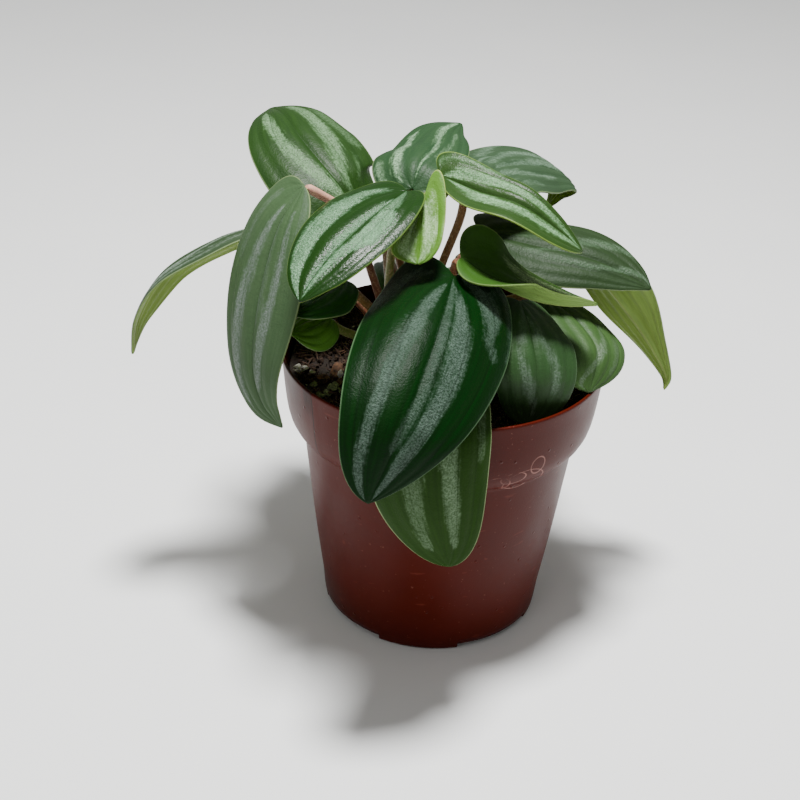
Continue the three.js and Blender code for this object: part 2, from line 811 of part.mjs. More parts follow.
add("pot", potGeometry(api), "#7c3a2c", 0.45);
add("soil", soilGeometry(api), "#2b1c14", 0.95);
for (const leaf of LEAVES) {
  const small = leaf.width < 20;
  add(leaf.name, bladeGeometry(leaf, small ? 12 : 14, 8), leaf.color || "#2f5a35", 0.4);
  add(`${leaf.name}_petiole`, petioleGeometry(leaf), leaf.stalkColor || "#9a6a4c", 0.5);
}

export default plant;
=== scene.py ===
import math
import random
import bpy
import bmesh
import numpy as np
from mathutils import Matrix, Vector


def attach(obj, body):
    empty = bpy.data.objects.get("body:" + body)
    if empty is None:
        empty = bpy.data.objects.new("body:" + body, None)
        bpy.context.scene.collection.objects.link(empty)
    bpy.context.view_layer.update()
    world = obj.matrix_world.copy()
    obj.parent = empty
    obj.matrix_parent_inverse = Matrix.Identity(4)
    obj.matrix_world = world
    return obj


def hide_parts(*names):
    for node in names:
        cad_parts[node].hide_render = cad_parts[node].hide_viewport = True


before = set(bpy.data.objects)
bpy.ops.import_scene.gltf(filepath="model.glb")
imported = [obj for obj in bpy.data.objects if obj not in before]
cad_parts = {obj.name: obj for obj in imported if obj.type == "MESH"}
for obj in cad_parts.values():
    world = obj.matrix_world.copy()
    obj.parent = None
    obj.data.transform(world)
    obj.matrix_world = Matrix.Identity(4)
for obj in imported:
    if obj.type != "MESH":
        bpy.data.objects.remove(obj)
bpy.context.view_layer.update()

# Camera: a phone's main lens a little under half a metre away, looking down at about thirty degrees
# and rolled slightly. Found from the ellipses of the pot's rim, band and foot in the picture.
camera_data = bpy.data.cameras.new("view_camera")
camera_data.sensor_fit = "HORIZONTAL"
camera_data.sensor_width = 36.0
camera_data.lens = 72.0
camera = bpy.data.objects.new("view_camera", camera_data)
bpy.context.scene.collection.objects.link(camera)
camera_place = (-0.0133, -0.4580, 0.3343)
pitch = math.radians(29.6)
roll = math.radians(2.68)
look = Vector((0, math.cos(pitch), -math.sin(pitch)))
level_right = Vector((1, 0, 0))
level_up = level_right.cross(look)
view_right = math.cos(roll) * level_right + math.sin(roll) * level_up
view_up = math.cos(roll) * level_up - math.sin(roll) * level_right
view_rows = [[view_right[k], view_up[k], -look[k], camera_place[k]] for k in range(3)]
camera.matrix_world = Matrix(view_rows + [[0, 0, 0, 1]])
bpy.context.scene.camera = camera


# Table top: plain off-white paint, very slightly mottled, that shows the soft shadows. The light is broad
# and comes from straight above, with a weak fill from the front.
def linear(hex_code):
    """sRGB hex colour as the linear RGBA that a material uses."""
    values = [int(hex_code[i:i + 2], 16) / 255 for i in (1, 3, 5)]
    return [v / 12.92 if v <= 0.04045 else ((v + 0.055) / 1.055) ** 2.4 for v in values] + [1.0]


def add_node(tree, kind, settings=None, **inputs):
    """Adds a node. Inputs are named by their label, or i0, i1 and so on by their place."""
    made = tree.nodes.new(kind)
    for key, value in (settings or {}).items():
        setattr(made, key, value)
    for key, value in inputs.items():
        by_place = key[0] == "i" and key[1:].isdigit()
        socket = made.inputs[int(key[1:]) if by_place else key.replace("_", " ")]
        if isinstance(value, bpy.types.NodeSocket):
            tree.links.new(value, socket)
        else:
            socket.default_value = value
    return made


def new_material(name):
    made = bpy.data.materials.new(name)
    made.use_nodes = True
    return made, made.node_tree, made.node_tree.nodes["Principled BSDF"]


stage_mesh = bpy.data.meshes.new("pale_floor")
stage_mesh.from_pydata([(-4, -4, 0), (4, -4, 0), (4, 4, 0), (-4, 4, 0)], [], [(0, 1, 2, 3)])
pale_floor = bpy.data.objects.new("pale_floor", stage_mesh)
bpy.context.scene.collection.objects.link(pale_floor)
floor_paint, tree, shader = new_material("matt_floor_paint")
place = add_node(tree, "ShaderNodeTexCoord").outputs["Object"]
mottle = add_node(tree, "ShaderNodeTexNoise", Vector=place, Scale=9.0, Detail=4.0)
paint = add_node(tree, "ShaderNodeMix", {"data_type": "RGBA"}, Factor=mottle.outputs[0],
                 i6=linear("#e6e7e6"), i7=linear("#efefed"))
tree.links.new(paint.outputs[2], shader.inputs["Base Color"])
shader.inputs["Roughness"].default_value = 0.8
stage_mesh.materials.append(floor_paint)

world = bpy.data.worlds.new("soft_studio")
bpy.context.scene.world = world
world.use_nodes = True
world.node_tree.nodes["Background"].inputs["Color"].default_value = linear("#f4f4f2")
world.node_tree.nodes["Background"].inputs["Strength"].default_value = 0.33
for lamp_name, lamp_place, aim, size, power in (
    ("overhead_light", (0.0, -0.02, 0.95), (0.0, 0.0, 0.0), 0.2, 22.0),
    ("front_fill", (-0.9, -1.3, 1.1), (0.0, 0.0, 0.1), 0.9, 3.2),
):
    lamp_data = bpy.data.lights.new(lamp_name, "AREA")
    lamp_data.shape = "DISK"
    lamp_data.size = size
    lamp_data.energy = power
    lamp = bpy.data.objects.new(lamp_name, lamp_data)
    bpy.context.scene.collection.objects.link(lamp)
    lamp.location = lamp_place
    lamp.rotation_euler = (Vector(aim) - Vector(lamp_place)).to_track_quat("-Z", "Y").to_euler()

# Pot: one thin-walled moulding of terracotta-red polypropylene. A wide band stiffens the rim, four
# channels with drain holes cross the foot, and a fine mould line runs down the band at the left.
band_low, rim_high = 68.0, 94.0
pot_outside = [
    (35.0, 0.0), (35.7, 0.15), (36.2, 0.5), (36.4, 1.2), (36.8, 4.0), (37.4, 10), (38.9, 20), (40.3, 30),
    (41.6, 40), (42.8, 50), (43.8, 58), (44.7, 66.2), (44.9, 67.4), (45.3, 67.9), (46.0, 68.2), (47.0, 68.9),
    (48.4, 70.4), (49.4, 72.4), (50.1, 75), (50.6, 78), (51.1, 82), (51.6, 87), (52.1, 91.5), (52.35, 93.0),
    (52.4, 93.6), (52.25, 93.9), (52.0, 94.0),
]
pot_inside = [
    (51.6, 93.95), (51.35, 93.6), (51.1, 91), (50.1, 82), (49.2, 75.4), (47.4, 71.4), (45.0, 69.2),
    (43.8, 68.0), (43.6, 66), (41.8, 50), (39.3, 30), (36.4, 10), (34.8, 4.6), (34.2, 4.0),
]
pot_turns = 180
seam_angle = 219.5
pot_shell = bmesh.new()
pot_rings = []
for radius, height in pot_outside + pot_inside:
    ring = []
    for k in range(pot_turns):
        a = 2 * math.pi * k / pot_turns
        loose = 0.12 * math.sin(2 * a + 0.7) + 0.06 * math.sin(5 * a)
        seam = 0.14 if abs(math.degrees(a) - seam_angle) < 1.1 and height > band_low and radius > 46 else 0
        r = (radius + loose * (height / rim_high) ** 2 + seam) / 1000
        ring.append(pot_shell.verts.new((r * math.cos(a), r * math.sin(a), height / 1000)))
    pot_rings.append(ring)
for lower, upper in zip(pot_rings, pot_rings[1:]):
    for k in range(pot_turns):
        n = (k + 1) % pot_turns
        pot_shell.faces.new((lower[k], lower[n], upper[n], upper[k]))
under_centre = pot_shell.verts.new((0, 0, 0))
floor_centre = pot_shell.verts.new((0, 0, 0.004))
for k in range(pot_turns):
    n = (k + 1) % pot_turns
    pot_shell.faces.new((under_centre, pot_rings[0][n], pot_rings[0][k]))
    pot_shell.faces.new((floor_centre, pot_rings[-1][k], pot_rings[-1][n]))
pot_mesh = bpy.data.meshes.new("nursery_pot")
pot_shell.to_mesh(pot_mesh)
pot_shell.free()
nursery_pot = bpy.data.objects.new("nursery_pot", pot_mesh)
bpy.context.scene.collection.objects.link(nursery_pot)

foot_first, channel_depth, drain_radius, drain_ring = 264, 2.2, 3.5, 29.0
channel_half = 38.4 * math.sin(math.radians(22.5))
channel_cutter = bmesh.new()
for k in range(4):
    a = math.radians(foot_first + 45 + 90 * k)
    for v in bmesh.ops.create_cube(channel_cutter, size=1)["verts"]:
        x, y, z = 34.4 + v.co.x * 20, v.co.y * 2 * channel_half, v.co.z * 2 * channel_depth
        v.co = Vector((x * math.cos(a) - y * math.sin(a), x * math.sin(a) + y * math.cos(a), z)) / 1000
    bored = bmesh.ops.create_cone(channel_cutter, segments=32, radius1=drain_radius, radius2=drain_radius,
                                  depth=8, cap_ends=True)
    for v in bored["verts"]:
        v.co = (v.co + Vector((drain_ring * math.cos(a), drain_ring * math.sin(a), 4.5))) / 1000
cutter_mesh = bpy.data.meshes.new("channel_cutter")
channel_cutter.to_mesh(cutter_mesh)
channel_cutter.free()
cutter = bpy.data.objects.new("channel_cutter", cutter_mesh)
bpy.context.scene.collection.objects.link(cutter)
channels = nursery_pot.modifiers.new("channels", "BOOLEAN")
channels.operation = "DIFFERENCE"
channels.solver = "EXACT"
channels.use_self = True
channels.object = cutter


def settle(piece):
    """Turns a piece with its modifiers into the plain mesh that they make."""
    bpy.context.view_layer.update()
    made = bpy.data.meshes.new_from_object(piece.evaluated_get(bpy.context.evaluated_depsgraph_get()))
    piece.modifiers.clear()
    piece.data = made
    return made


pot_mesh = settle(nursery_pot)
bpy.data.objects.remove(cutter)
for polygon in pot_mesh.polygons:
    polygon.use_smooth = abs(polygon.normal.z) < 0.97

# Moulded polypropylene: even terracotta red with a soft sheen, faintly cloudy, with the fine grain of
# the mould (about 0.5 mm), pale dust specks, a few dried drops and long scuffs where pots were stacked.
pot_plastic, tree, shader = new_material("moulded_polypropylene")
place = add_node(tree, "ShaderNodeTexCoord").outputs["Object"]
axes = add_node(tree, "ShaderNodeSeparateXYZ", Vector=place)
cloud = add_node(tree, "ShaderNodeTexNoise", Vector=place, Scale=42.0, Detail=5.0, Roughness=0.6)
body_red = add_node(tree, "ShaderNodeMix", {"data_type": "RGBA"}, Factor=cloud.outputs[0],
                    i6=linear("#3a0b02"), i7=linear("#4c1004"))
speck = add_node(tree, "ShaderNodeTexNoise", Vector=place, Scale=900.0, Detail=2.0)
speck_mask = add_node(tree, "ShaderNodeMapRange", Value=speck.outputs[0], i1=0.7, i2=0.76)
dusty = add_node(tree, "ShaderNodeMix", {"data_type": "RGBA"}, Factor=speck_mask.outputs[0],
                 i6=body_red.outputs[2], i7=linear("#62342a"))
around = add_node(tree, "ShaderNodeMath", {"operation": "ARCTAN2"}, i0=axes.outputs[1], i1=axes.outputs[0])
along_scuff = add_node(tree, "ShaderNodeCombineXYZ", X=around.outputs[0], Z=axes.outputs[2])
scuff_space = add_node(tree, "ShaderNodeVectorMath", {"operation": "MULTIPLY"}, i0=along_scuff.outputs[0],
                       i1=(5.0, 0.0, 420.0))
scuff = add_node(tree, "ShaderNodeTexNoise", Vector=scuff_space.outputs[0], Scale=1.0, Detail=3.0,
                 Distortion=0.4)
scuff_mask = add_node(tree, "ShaderNodeMapRange", Value=scuff.outputs[0], i1=0.66, i2=0.73, i4=0.35)
scuffed = add_node(tree, "ShaderNodeMix", {"data_type": "RGBA"}, Factor=scuff_mask.outputs[0],
                   i6=dusty.outputs[2], i7=linear("#6e3024"))
# Thin looping scratches near the band's lower edge at the front right: centre (degrees around, height),
# half width and half height in millimetres, and the part of the loop that shows.
marked = scuffed
for turn, high, half_wide, half_high, thin in ((290.0, 71.5, 5.2, 3.4, 0.05), (297.0, 73.5, 4.4, 2.2, 0.06),
                                               (306.5, 76.5, 2.6, 3.2, 0.08), (302.0, 71.0, 7.5, 4.6, 0.03)):
    offset = math.radians(turn - 360)
    across = add_node(tree, "ShaderNodeMath", {"operation": "MULTIPLY_ADD"}, i0=around.outputs[0],
                      i1=50 / half_wide,
                      i2=-offset * 50 / half_wide)
    upward = add_node(tree, "ShaderNodeMath", {"operation": "MULTIPLY_ADD"}, i0=axes.outputs[2],
                      i1=1000 / half_high, i2=-high / half_high)
    loop_space = add_node(tree, "ShaderNodeCombineXYZ", X=across.outputs[0], Y=upward.outputs[0])
    out_to = add_node(tree, "ShaderNodeVectorMath", {"operation": "LENGTH"}, i0=loop_space.outputs[0])
    off_line = add_node(tree, "ShaderNodeMath", {"operation": "COMPARE"}, i0=out_to.outputs["Value"], i1=1.0,
                        i2=thin)
    worn = add_node(tree, "ShaderNodeMapRange", Value=cloud.outputs[0], i1=0.42, i2=0.5, i4=0.7)
    shown = add_node(tree, "ShaderNodeMath", {"operation": "MULTIPLY"}, i0=off_line.outputs[0],
                     i1=worn.outputs[0])
    marked = add_node(tree, "ShaderNodeMix", {"data_type": "RGBA"}, Factor=shown.outputs[0],
                      i6=marked.outputs[2], i7=linear("#94685f"))
# The dark mould line down the band, with an old brown stain beside it just under the rim.
seam_turn = math.radians(seam_angle - 360)
on_seam = add_node(tree, "ShaderNodeMath", {"operation": "COMPARE"}, i0=around.outputs[0], i1=seam_turn,
                   i2=0.0055)
near_seam = add_node(tree, "ShaderNodeMath", {"operation": "SUBTRACT"}, i0=around.outputs[0],
                     i1=seam_turn - 0.05)
near_seam = add_node(tree, "ShaderNodeMath", {"operation": "ABSOLUTE"}, i0=near_seam.outputs[0])
beside = add_node(tree, "ShaderNodeMapRange", Value=near_seam.outputs[0], i1=0.03, i2=0.06, i3=1.0, i4=0.0)
on_band = add_node(tree, "ShaderNodeMapRange", Value=axes.outputs[2], i1=0.0695, i2=0.0705)
under_rim = add_node(tree, "ShaderNodeMapRange", Value=axes.outputs[2], i1=0.083, i2=0.09)
blot = add_node(tree, "ShaderNodeMapRange", Value=cloud.outputs[0], i1=0.4, i2=0.55, i4=0.75)
seam_mask = add_node(tree, "ShaderNodeMath", {"operation": "MULTIPLY"}, i0=on_seam.outputs[0],
                     i1=on_band.outputs[0])
stain_mask = add_node(tree, "ShaderNodeMath", {"operation": "MULTIPLY"}, i0=beside.outputs[0],
                      i1=under_rim.outputs[0])
stain_mask = add_node(tree, "ShaderNodeMath", {"operation": "MULTIPLY"}, i0=stain_mask.outputs[0],
                      i1=blot.outputs[0])
dark_mask = add_node(tree, "ShaderNodeMath", {"operation": "MAXIMUM"}, i0=seam_mask.outputs[0],
                     i1=stain_mask.outputs[0])
seamed = add_node(tree, "ShaderNodeMix", {"data_type": "RGBA"}, Factor=dark_mask.outputs[0],
                  i6=marked.outputs[2], i7=linear("#220a05"))
tree.links.new(seamed.outputs[2], shader.inputs["Base Color"])
gloss = add_node(tree, "ShaderNodeMapRange", Value=cloud.outputs[0], i1=0.3, i2=0.7, i3=0.33, i4=0.46)
tree.links.new(gloss.outputs[0], shader.inputs["Roughness"])
grain = add_node(tree, "ShaderNodeTexNoise", Vector=place, Scale=1900.0, Detail=2.0)
relief = add_node(tree, "ShaderNodeBump", Height=grain.outputs[0], Strength=0.10, Distance=0.0003)
beads = add_node(tree, "ShaderNodeTexVoronoi", Vector=place, Scale=210.0)
bead_height = add_node(tree, "ShaderNodeMapRange", {"interpolation_type": "SMOOTHSTEP"},
                       Value=beads.outputs[0],
                       i1=0.04, i2=0.15, i3=1.0, i4=0.0)
bead_here = add_node(tree, "ShaderNodeSeparateXYZ", Vector=beads.outputs[1])
bead_few = add_node(tree, "ShaderNodeMath", {"operation": "GREATER_THAN"}, i0=bead_here.outputs[0], i1=0.62)
bead = add_node(tree, "ShaderNodeMath", {"operation": "MULTIPLY"}, i0=bead_height.outputs[0],
                i1=bead_few.outputs[0])
beaded = add_node(tree, "ShaderNodeBump", Height=bead.outputs[0], Strength=0.5, Distance=0.0004,
                  Normal=relief.outputs[0])
tree.links.new(beaded.outputs[0], shader.inputs["Normal"])
shader.inputs["IOR"].default_value = 1.49
shader.inputs["Specular IOR Level"].default_value = 0.1
pot_mesh.materials.clear()
pot_mesh.materials.append(pot_plastic)
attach(nursery_pot, "root")
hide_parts("pot")

# Potting mix: dark peat and composted bark that fills the pot to a few millimetres below the rim,
# pressed in by hand, so its top is uneven and lowest near the rim at the front right.
soil_level, soil_relief = 87.5, 1.6


def soil_height(x, y):
    """Height of the mix in millimetres, the same as the CAD solid's."""
    wave = math.sin(x * 0.31 + 1.3) * math.cos(y * 0.27) + 0.6 * math.sin(x * 0.62 - y * 0.49)
    lumps = 0.35 * math.sin(x * 1.7 + y * 0.9) * math.cos(y * 1.5 - x * 0.6)
    hollow = 2.6 * math.exp(-((x - 30) ** 2 + (y + 27) ** 2) / 392)
    return soil_level + soil_relief * 0.5 * (wave + lumps) - hollow


soil_wall = [(49.3, 82), (48.4, 75.6), (46.8, 71.8), (43.4, 68.4), (41.5, 50), (39.0, 30), (36.1, 10),
             (34.0, 4.3)]
soil_turns = 150
soil_edge, top_rings = 49.6, 46
top_courses = [(soil_edge * ((k + 1) / top_rings) ** 0.8, None) for k in range(top_rings)]
soil_body = bmesh.new()
rings = []
for r, level in top_courses + soil_wall:
    ring = []
    for k in range(soil_turns):
        x, y = r * math.cos(2 * math.pi * k / soil_turns), r * math.sin(2 * math.pi * k / soil_turns)
        z = soil_height(x, y) if level is None else level
        ring.append(soil_body.verts.new((x / 1000, y / 1000, z / 1000)))
    rings.append(ring)
for inner, outer in zip(rings, rings[1:]):
    for k in range(soil_turns):
        n = (k + 1) % soil_turns
        soil_body.faces.new((inner[k], outer[k], outer[n], inner[n]))
top_centre = soil_body.verts.new((0, 0, soil_height(0, 0) / 1000))
low_centre = soil_body.verts.new((0, 0, 0.0043))
for k in range(soil_turns):
    n = (k + 1) % soil_turns
    soil_body.faces.new((top_centre, rings[0][k], rings[0][n]))
    soil_body.faces.new((low_centre, rings[-1][n], rings[-1][k]))
soil_mesh = bpy.data.meshes.new("potting_mix")
soil_body.to_mesh(soil_mesh)
soil_body.free()
potting_mix = bpy.data.objects.new("potting_mix", soil_mesh)
bpy.context.scene.collection.objects.link(potting_mix)
top_only = potting_mix.vertex_groups.new(name="top")
on_top = [v.index for v in soil_mesh.vertices if v.co.z > 0.083 and math.hypot(v.co.x, v.co.y) < 0.0492]
top_only.add(on_top, 1.0, "ADD")
for size, strength, depth in ((0.0050, 0.0016, 2), (0.0016, 0.0009, 1)):
    lump_texture = bpy.data.textures.new(f"mix_lumps_{depth}", "CLOUDS")
    lump_texture.noise_scale = size
    lump_texture.noise_depth = depth
    lumpy = potting_mix.modifiers.new(f"lumps_{depth}", "DISPLACE")
    lumpy.texture = lump_texture
    lumpy.texture_coords = "LOCAL"
    lumpy.direction = "Z"
    lumpy.strength = strength
    lumpy.mid_level = 0.62
    lumpy.vertex_group = "top"
soil_mesh = settle(potting_mix)
for polygon in soil_mesh.polygons:
    polygon.use_smooth = True
moist_peat, tree, shader = new_material("moist_peat")
place = add_node(tree, "ShaderNodeTexCoord").outputs["Object"]
fibre = add_node(tree, "ShaderNodeTexNoise", Vector=place, Scale=700.0, Detail=6.0, Roughness=0.7)
clump = add_node(tree, "ShaderNodeTexNoise", Vector=place, Scale=150.0, Detail=3.0)
dark_peat = add_node(tree, "ShaderNodeMix", {"data_type": "RGBA"}, Factor=fibre.outputs[0],
                     i6=linear("#0b0604"), i7=linear("#3c2a1b"))
peat = add_node(tree, "ShaderNodeMix", {"data_type": "RGBA", "blend_type": "MULTIPLY"}, Factor=0.6,
                i6=dark_peat.outputs[2], i7=clump.outputs[1])
tree.links.new(peat.outputs[2], shader.inputs["Base Color"])
shader.inputs["Roughness"].default_value = 0.85
relief = add_node(tree, "ShaderNodeBump", Height=fibre.outputs[0], Strength=0.8, Distance=0.0008)
tree.links.new(relief.outputs[0], shader.inputs["Normal"])
soil_mesh.materials.clear()
soil_mesh.materials.append(moist_peat)
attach(potting_mix, "root")
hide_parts("soil")


# Loose bits on the mix: crumbs and fibres of dark peat everywhere, white perlite, brown bark flakes and
# a few pale green moss crumbs. Each lies half sunk in the surface; like bits are one piece.
def ground_of(points):
    """A mesh of bare points with the size of the bit that lies on each, in metres."""
    made = bpy.data.meshes.new("lying_bits")
    made.from_pydata([(x / 1000, y / 1000, (soil_height(x, y) + lift) / 1000) for x, y, lift, size in points],
                     [], [])
    sizes = made.attributes.new("bit_size", "FLOAT", "POINT")
    sizes.data.foreach_set("value", [size / 1000 for x, y, lift, size in points])
    return made


def new_tree(name, inputs):
    """A Geometry Nodes tree that takes its geometry and then the named inputs."""
    made = bpy.data.node_groups.new(name, "GeometryNodeTree")
    made.interface.new_socket("Geometry", in_out="INPUT", socket_type="NodeSocketGeometry")
    for label, kind in inputs:
        made.interface.new_socket(label, in_out="INPUT", socket_type=f"NodeSocket{kind}")
    made.interface.new_socket("Geometry", in_out="OUTPUT", socket_type="NodeSocketGeometry")
    return made


def grow(piece, name, tree, values):
    """Runs a tree on a piece with the values of its inputs, and leaves the plain mesh that it makes."""
    modifier = piece.modifiers.new(name, "NODES")
    modifier.node_group = tree
    for socket in tree.interface.items_tree:
        if socket.item_type == "SOCKET" and socket.in_out == "INPUT" and socket.name in values:
            modifier[socket.identifier] = values[socket.name]
    settle(piece)


def lying_bits_tree():
    """Geometry Nodes: one broken lump on each point, turned at random, each with its own dents."""
    made = new_tree("lying_bits", (
        ("Detail", "Int"), ("Thickness", "Float"), ("Width", "Float"), ("Tilt", "Float"),
        ("Dent depth", "Float"), ("Dent scale", "Float"), ("Seed", "Int"), ("Material", "Material")))
    given = add_node(made, "NodeGroupInput").outputs
    lump = add_node(made, "GeometryNodeMeshIcoSphere", Radius=0.5, Subdivisions=given["Detail"])
    yaw = add_node(made, "FunctionNodeRandomValue", {"data_type": "FLOAT"}, i2=0.0, i3=6.283,
                   Seed=given["Seed"])
    lean = add_node(made, "ShaderNodeMath", {"operation": "MULTIPLY"}, i0=given["Tilt"], i1=-1.0)
    tilt_x = add_node(made, "FunctionNodeRandomValue", {"data_type": "FLOAT"}, i2=lean.outputs[0],
                      i3=given["Tilt"], Seed=11)
    tilt_y = add_node(made, "FunctionNodeRandomValue", {"data_type": "FLOAT"}, i2=lean.outputs[0],
                      i3=given["Tilt"], Seed=12)
    turn = add_node(made, "ShaderNodeCombineXYZ", X=tilt_x.outputs[1], Y=tilt_y.outputs[1], Z=yaw.outputs[1])
    size = add_node(made, "GeometryNodeInputNamedAttribute", {"data_type": "FLOAT"}, Name="bit_size")
    slim = add_node(made, "FunctionNodeRandomValue", {"data_type": "FLOAT"}, i2=0.75, i3=1.25, Seed=13)
    breadth = add_node(made, "ShaderNodeMath", {"operation": "MULTIPLY"}, i0=given["Width"],
                       i1=slim.outputs[1])
    shape = add_node(made, "ShaderNodeCombineXYZ", X=1.0, Y=breadth.outputs[0], Z=given["Thickness"])
    scale = add_node(made, "ShaderNodeVectorMath", {"operation": "SCALE"}, i0=shape.outputs[0],
                     Scale=size.outputs[0])
    cloud_points = add_node(made, "GeometryNodeMeshToPoints", Mesh=given["Geometry"])
    laid = add_node(made, "GeometryNodeInstanceOnPoints", Points=cloud_points.outputs[0],
                    Instance=lump.outputs[0],
                    Rotation=turn.outputs[0], Scale=scale.outputs[0])
    real = add_node(made, "GeometryNodeRealizeInstances", Geometry=laid.outputs[0])
    where = add_node(made, "GeometryNodeInputPosition")
    dent = add_node(made, "ShaderNodeTexNoise", Vector=where.outputs[0], Scale=given["Dent scale"],
                    Detail=2.0)
    centred = add_node(made, "ShaderNodeVectorMath", {"operation": "SUBTRACT"}, i0=dent.outputs[1],
                       i1=(0.5, 0.5, 0.5))
    push = add_node(made, "ShaderNodeVectorMath", {"operation": "SCALE"}, i0=centred.outputs[0],
                    Scale=given["Dent depth"])
    broken = add_node(made, "GeometryNodeSetPosition", Geometry=real.outputs[0], Offset=push.outputs[0])
    finished = add_node(made, "GeometryNodeSetMaterial", Geometry=broken.outputs[0],
                        Material=given["Material"])
    out = add_node(made, "NodeGroupOutput")
    made.links.new(finished.outputs[0], out.inputs[0])
    return made


def mineral_or_bark(name, low, high, scale, roughness, depth):
    """A matt, granular material between two colours, mottled at the given scale (per metre)."""
    made, tree, shader = new_material(name)
    place = add_node(tree, "ShaderNodeTexCoord").outputs["Object"]
    spots = add_node(tree, "ShaderNodeTexNoise", Vector=place, Scale=scale, Detail=4.0, Roughness=0.65)
    spread = add_node(tree, "ShaderNodeMapRange", Value=spots.outputs[0], i1=0.32, i2=0.68)
    mixed = add_node(tree, "ShaderNodeMix", {"data_type": "RGBA"}, Factor=spread.outputs[0], i6=linear(low),
                     i7=linear(high))
    tree.links.new(mixed.outputs[2], shader.inputs["Base Color"])
    shader.inputs["Roughness"].default_value = roughness
    fine = add_node(tree, "ShaderNodeTexNoise", Vector=place, Scale=scale * 4, Detail=3.0)
    bump = add_node(tree, "ShaderNodeBump", Height=fine.outputs[0], Strength=0.6, Distance=depth)
    tree.links.new(bump.outputs[0], shader.inputs["Normal"])
    return made


bits_tree = lying_bits_tree()
draw = random.Random(31)


def strewn(count, small, large, lift, reach=47.5):
    """Random bits over the whole surface: x, y, lift and size in millimetres."""
    made = []
    for _ in range(count):
        r, a = reach * math.sqrt(draw.random()), 2 * math.pi * draw.random()
        size = small + (large - small) * draw.random() ** 2
        made.append((r * math.cos(a), r * math.sin(a), lift * size, size))
    return made


perlite_seen = [
    (-46.5, -9.5, 1.0, 3.2), (-44.3, -8.4, 0.8, 2.4), (-47.0, -6.8, 0.7, 2.0), (-41.5, -9.0, 0.9, 2.2),
    (-32.5, -11.0, 0.9, 2.6), (-30.0, -11.6, 0.8, 2.0), (-24.0, 8.0, 1.0, 3.4), (-21.0, 6.0, 1.0, 3.0),
    (-18.5, 8.8, 0.9, 2.6), (46.5, -9.0, 1.2, 3.8), (44.0, -10.5, 1.0, 3.0), (24.0, -25.0, 0.9, 2.4)]
bark_seen = [
    (-34.0, -8.5, 1.0, 7.5), (-29.0, -9.0, 1.1, 6.0), (-38.0, -12.5, 0.8, 5.0), (28.0, -24.0, 1.0, 5.5)]
moss_seen = [
    (-34.5, -19.0, 0.9, 3.6), (-36.0, -24.5, 0.9, 2.8), (-32.0, -20.5, 0.8, 2.4), (-40.5, -18.0, 0.8, 2.2),
    (-38.0, -26.0, 0.8, 2.6)]
bit_kinds = (
    # name, points, detail, thickness, width, tilt, dent depth, dent scale, material
    ("peat_crumbs", strewn(2300, 0.8, 2.3, 0.10), 2, 0.6, 0.8, 3.0, 0.0017, 1100.0,
     mineral_or_bark("peat_crumb", "#0a0503", "#4a3323", 420.0, 0.9, 0.0004)),
    ("peat_fibres", strewn(1500, 2.0, 7.0, 0.16), 1, 0.12, 0.11, 0.5, 0.0012, 300.0,
     mineral_or_bark("peat_fibre", "#1d100a", "#4f3521", 700.0, 0.85, 0.0002)),
    ("perlite", perlite_seen + strewn(30, 0.6, 1.6, 0.2), 3, 0.6, 0.75, 3.0, 0.0024, 620.0,
     mineral_or_bark("expanded_perlite", "#b9b3a6", "#f1eee6", 900.0, 0.8, 0.0003)),
    ("bark_flakes", bark_seen + strewn(70, 2.0, 5.5, 0.14), 2, 0.2, 0.5, 0.5, 0.0013, 330.0,
     mineral_or_bark("composted_bark", "#2a170d", "#6f4a2c", 700.0, 0.75, 0.0003)),
    ("moss_crumbs", moss_seen + strewn(20, 1.0, 2.4, 0.2), 3, 0.4, 0.8, 0.6, 0.0028, 700.0,
     mineral_or_bark("dry_moss", "#3f4a2a", "#8b9566", 1400.0, 0.9, 0.0005)),
)
for name, points, detail, thickness, width, tilt, dent_depth, dent_scale, material in bit_kinds:
    bits = bpy.data.objects.new(name, ground_of(points))
    bpy.context.scene.collection.objects.link(bits)
    grow(bits, "laying", bits_tree, {
        "Detail": detail, "Thickness": thickness, "Width": width, "Tilt": tilt, "Dent depth": dent_depth,
        "Dent scale": dent_scale, "Seed": 7, "Material": material})
    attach(bits, "root")


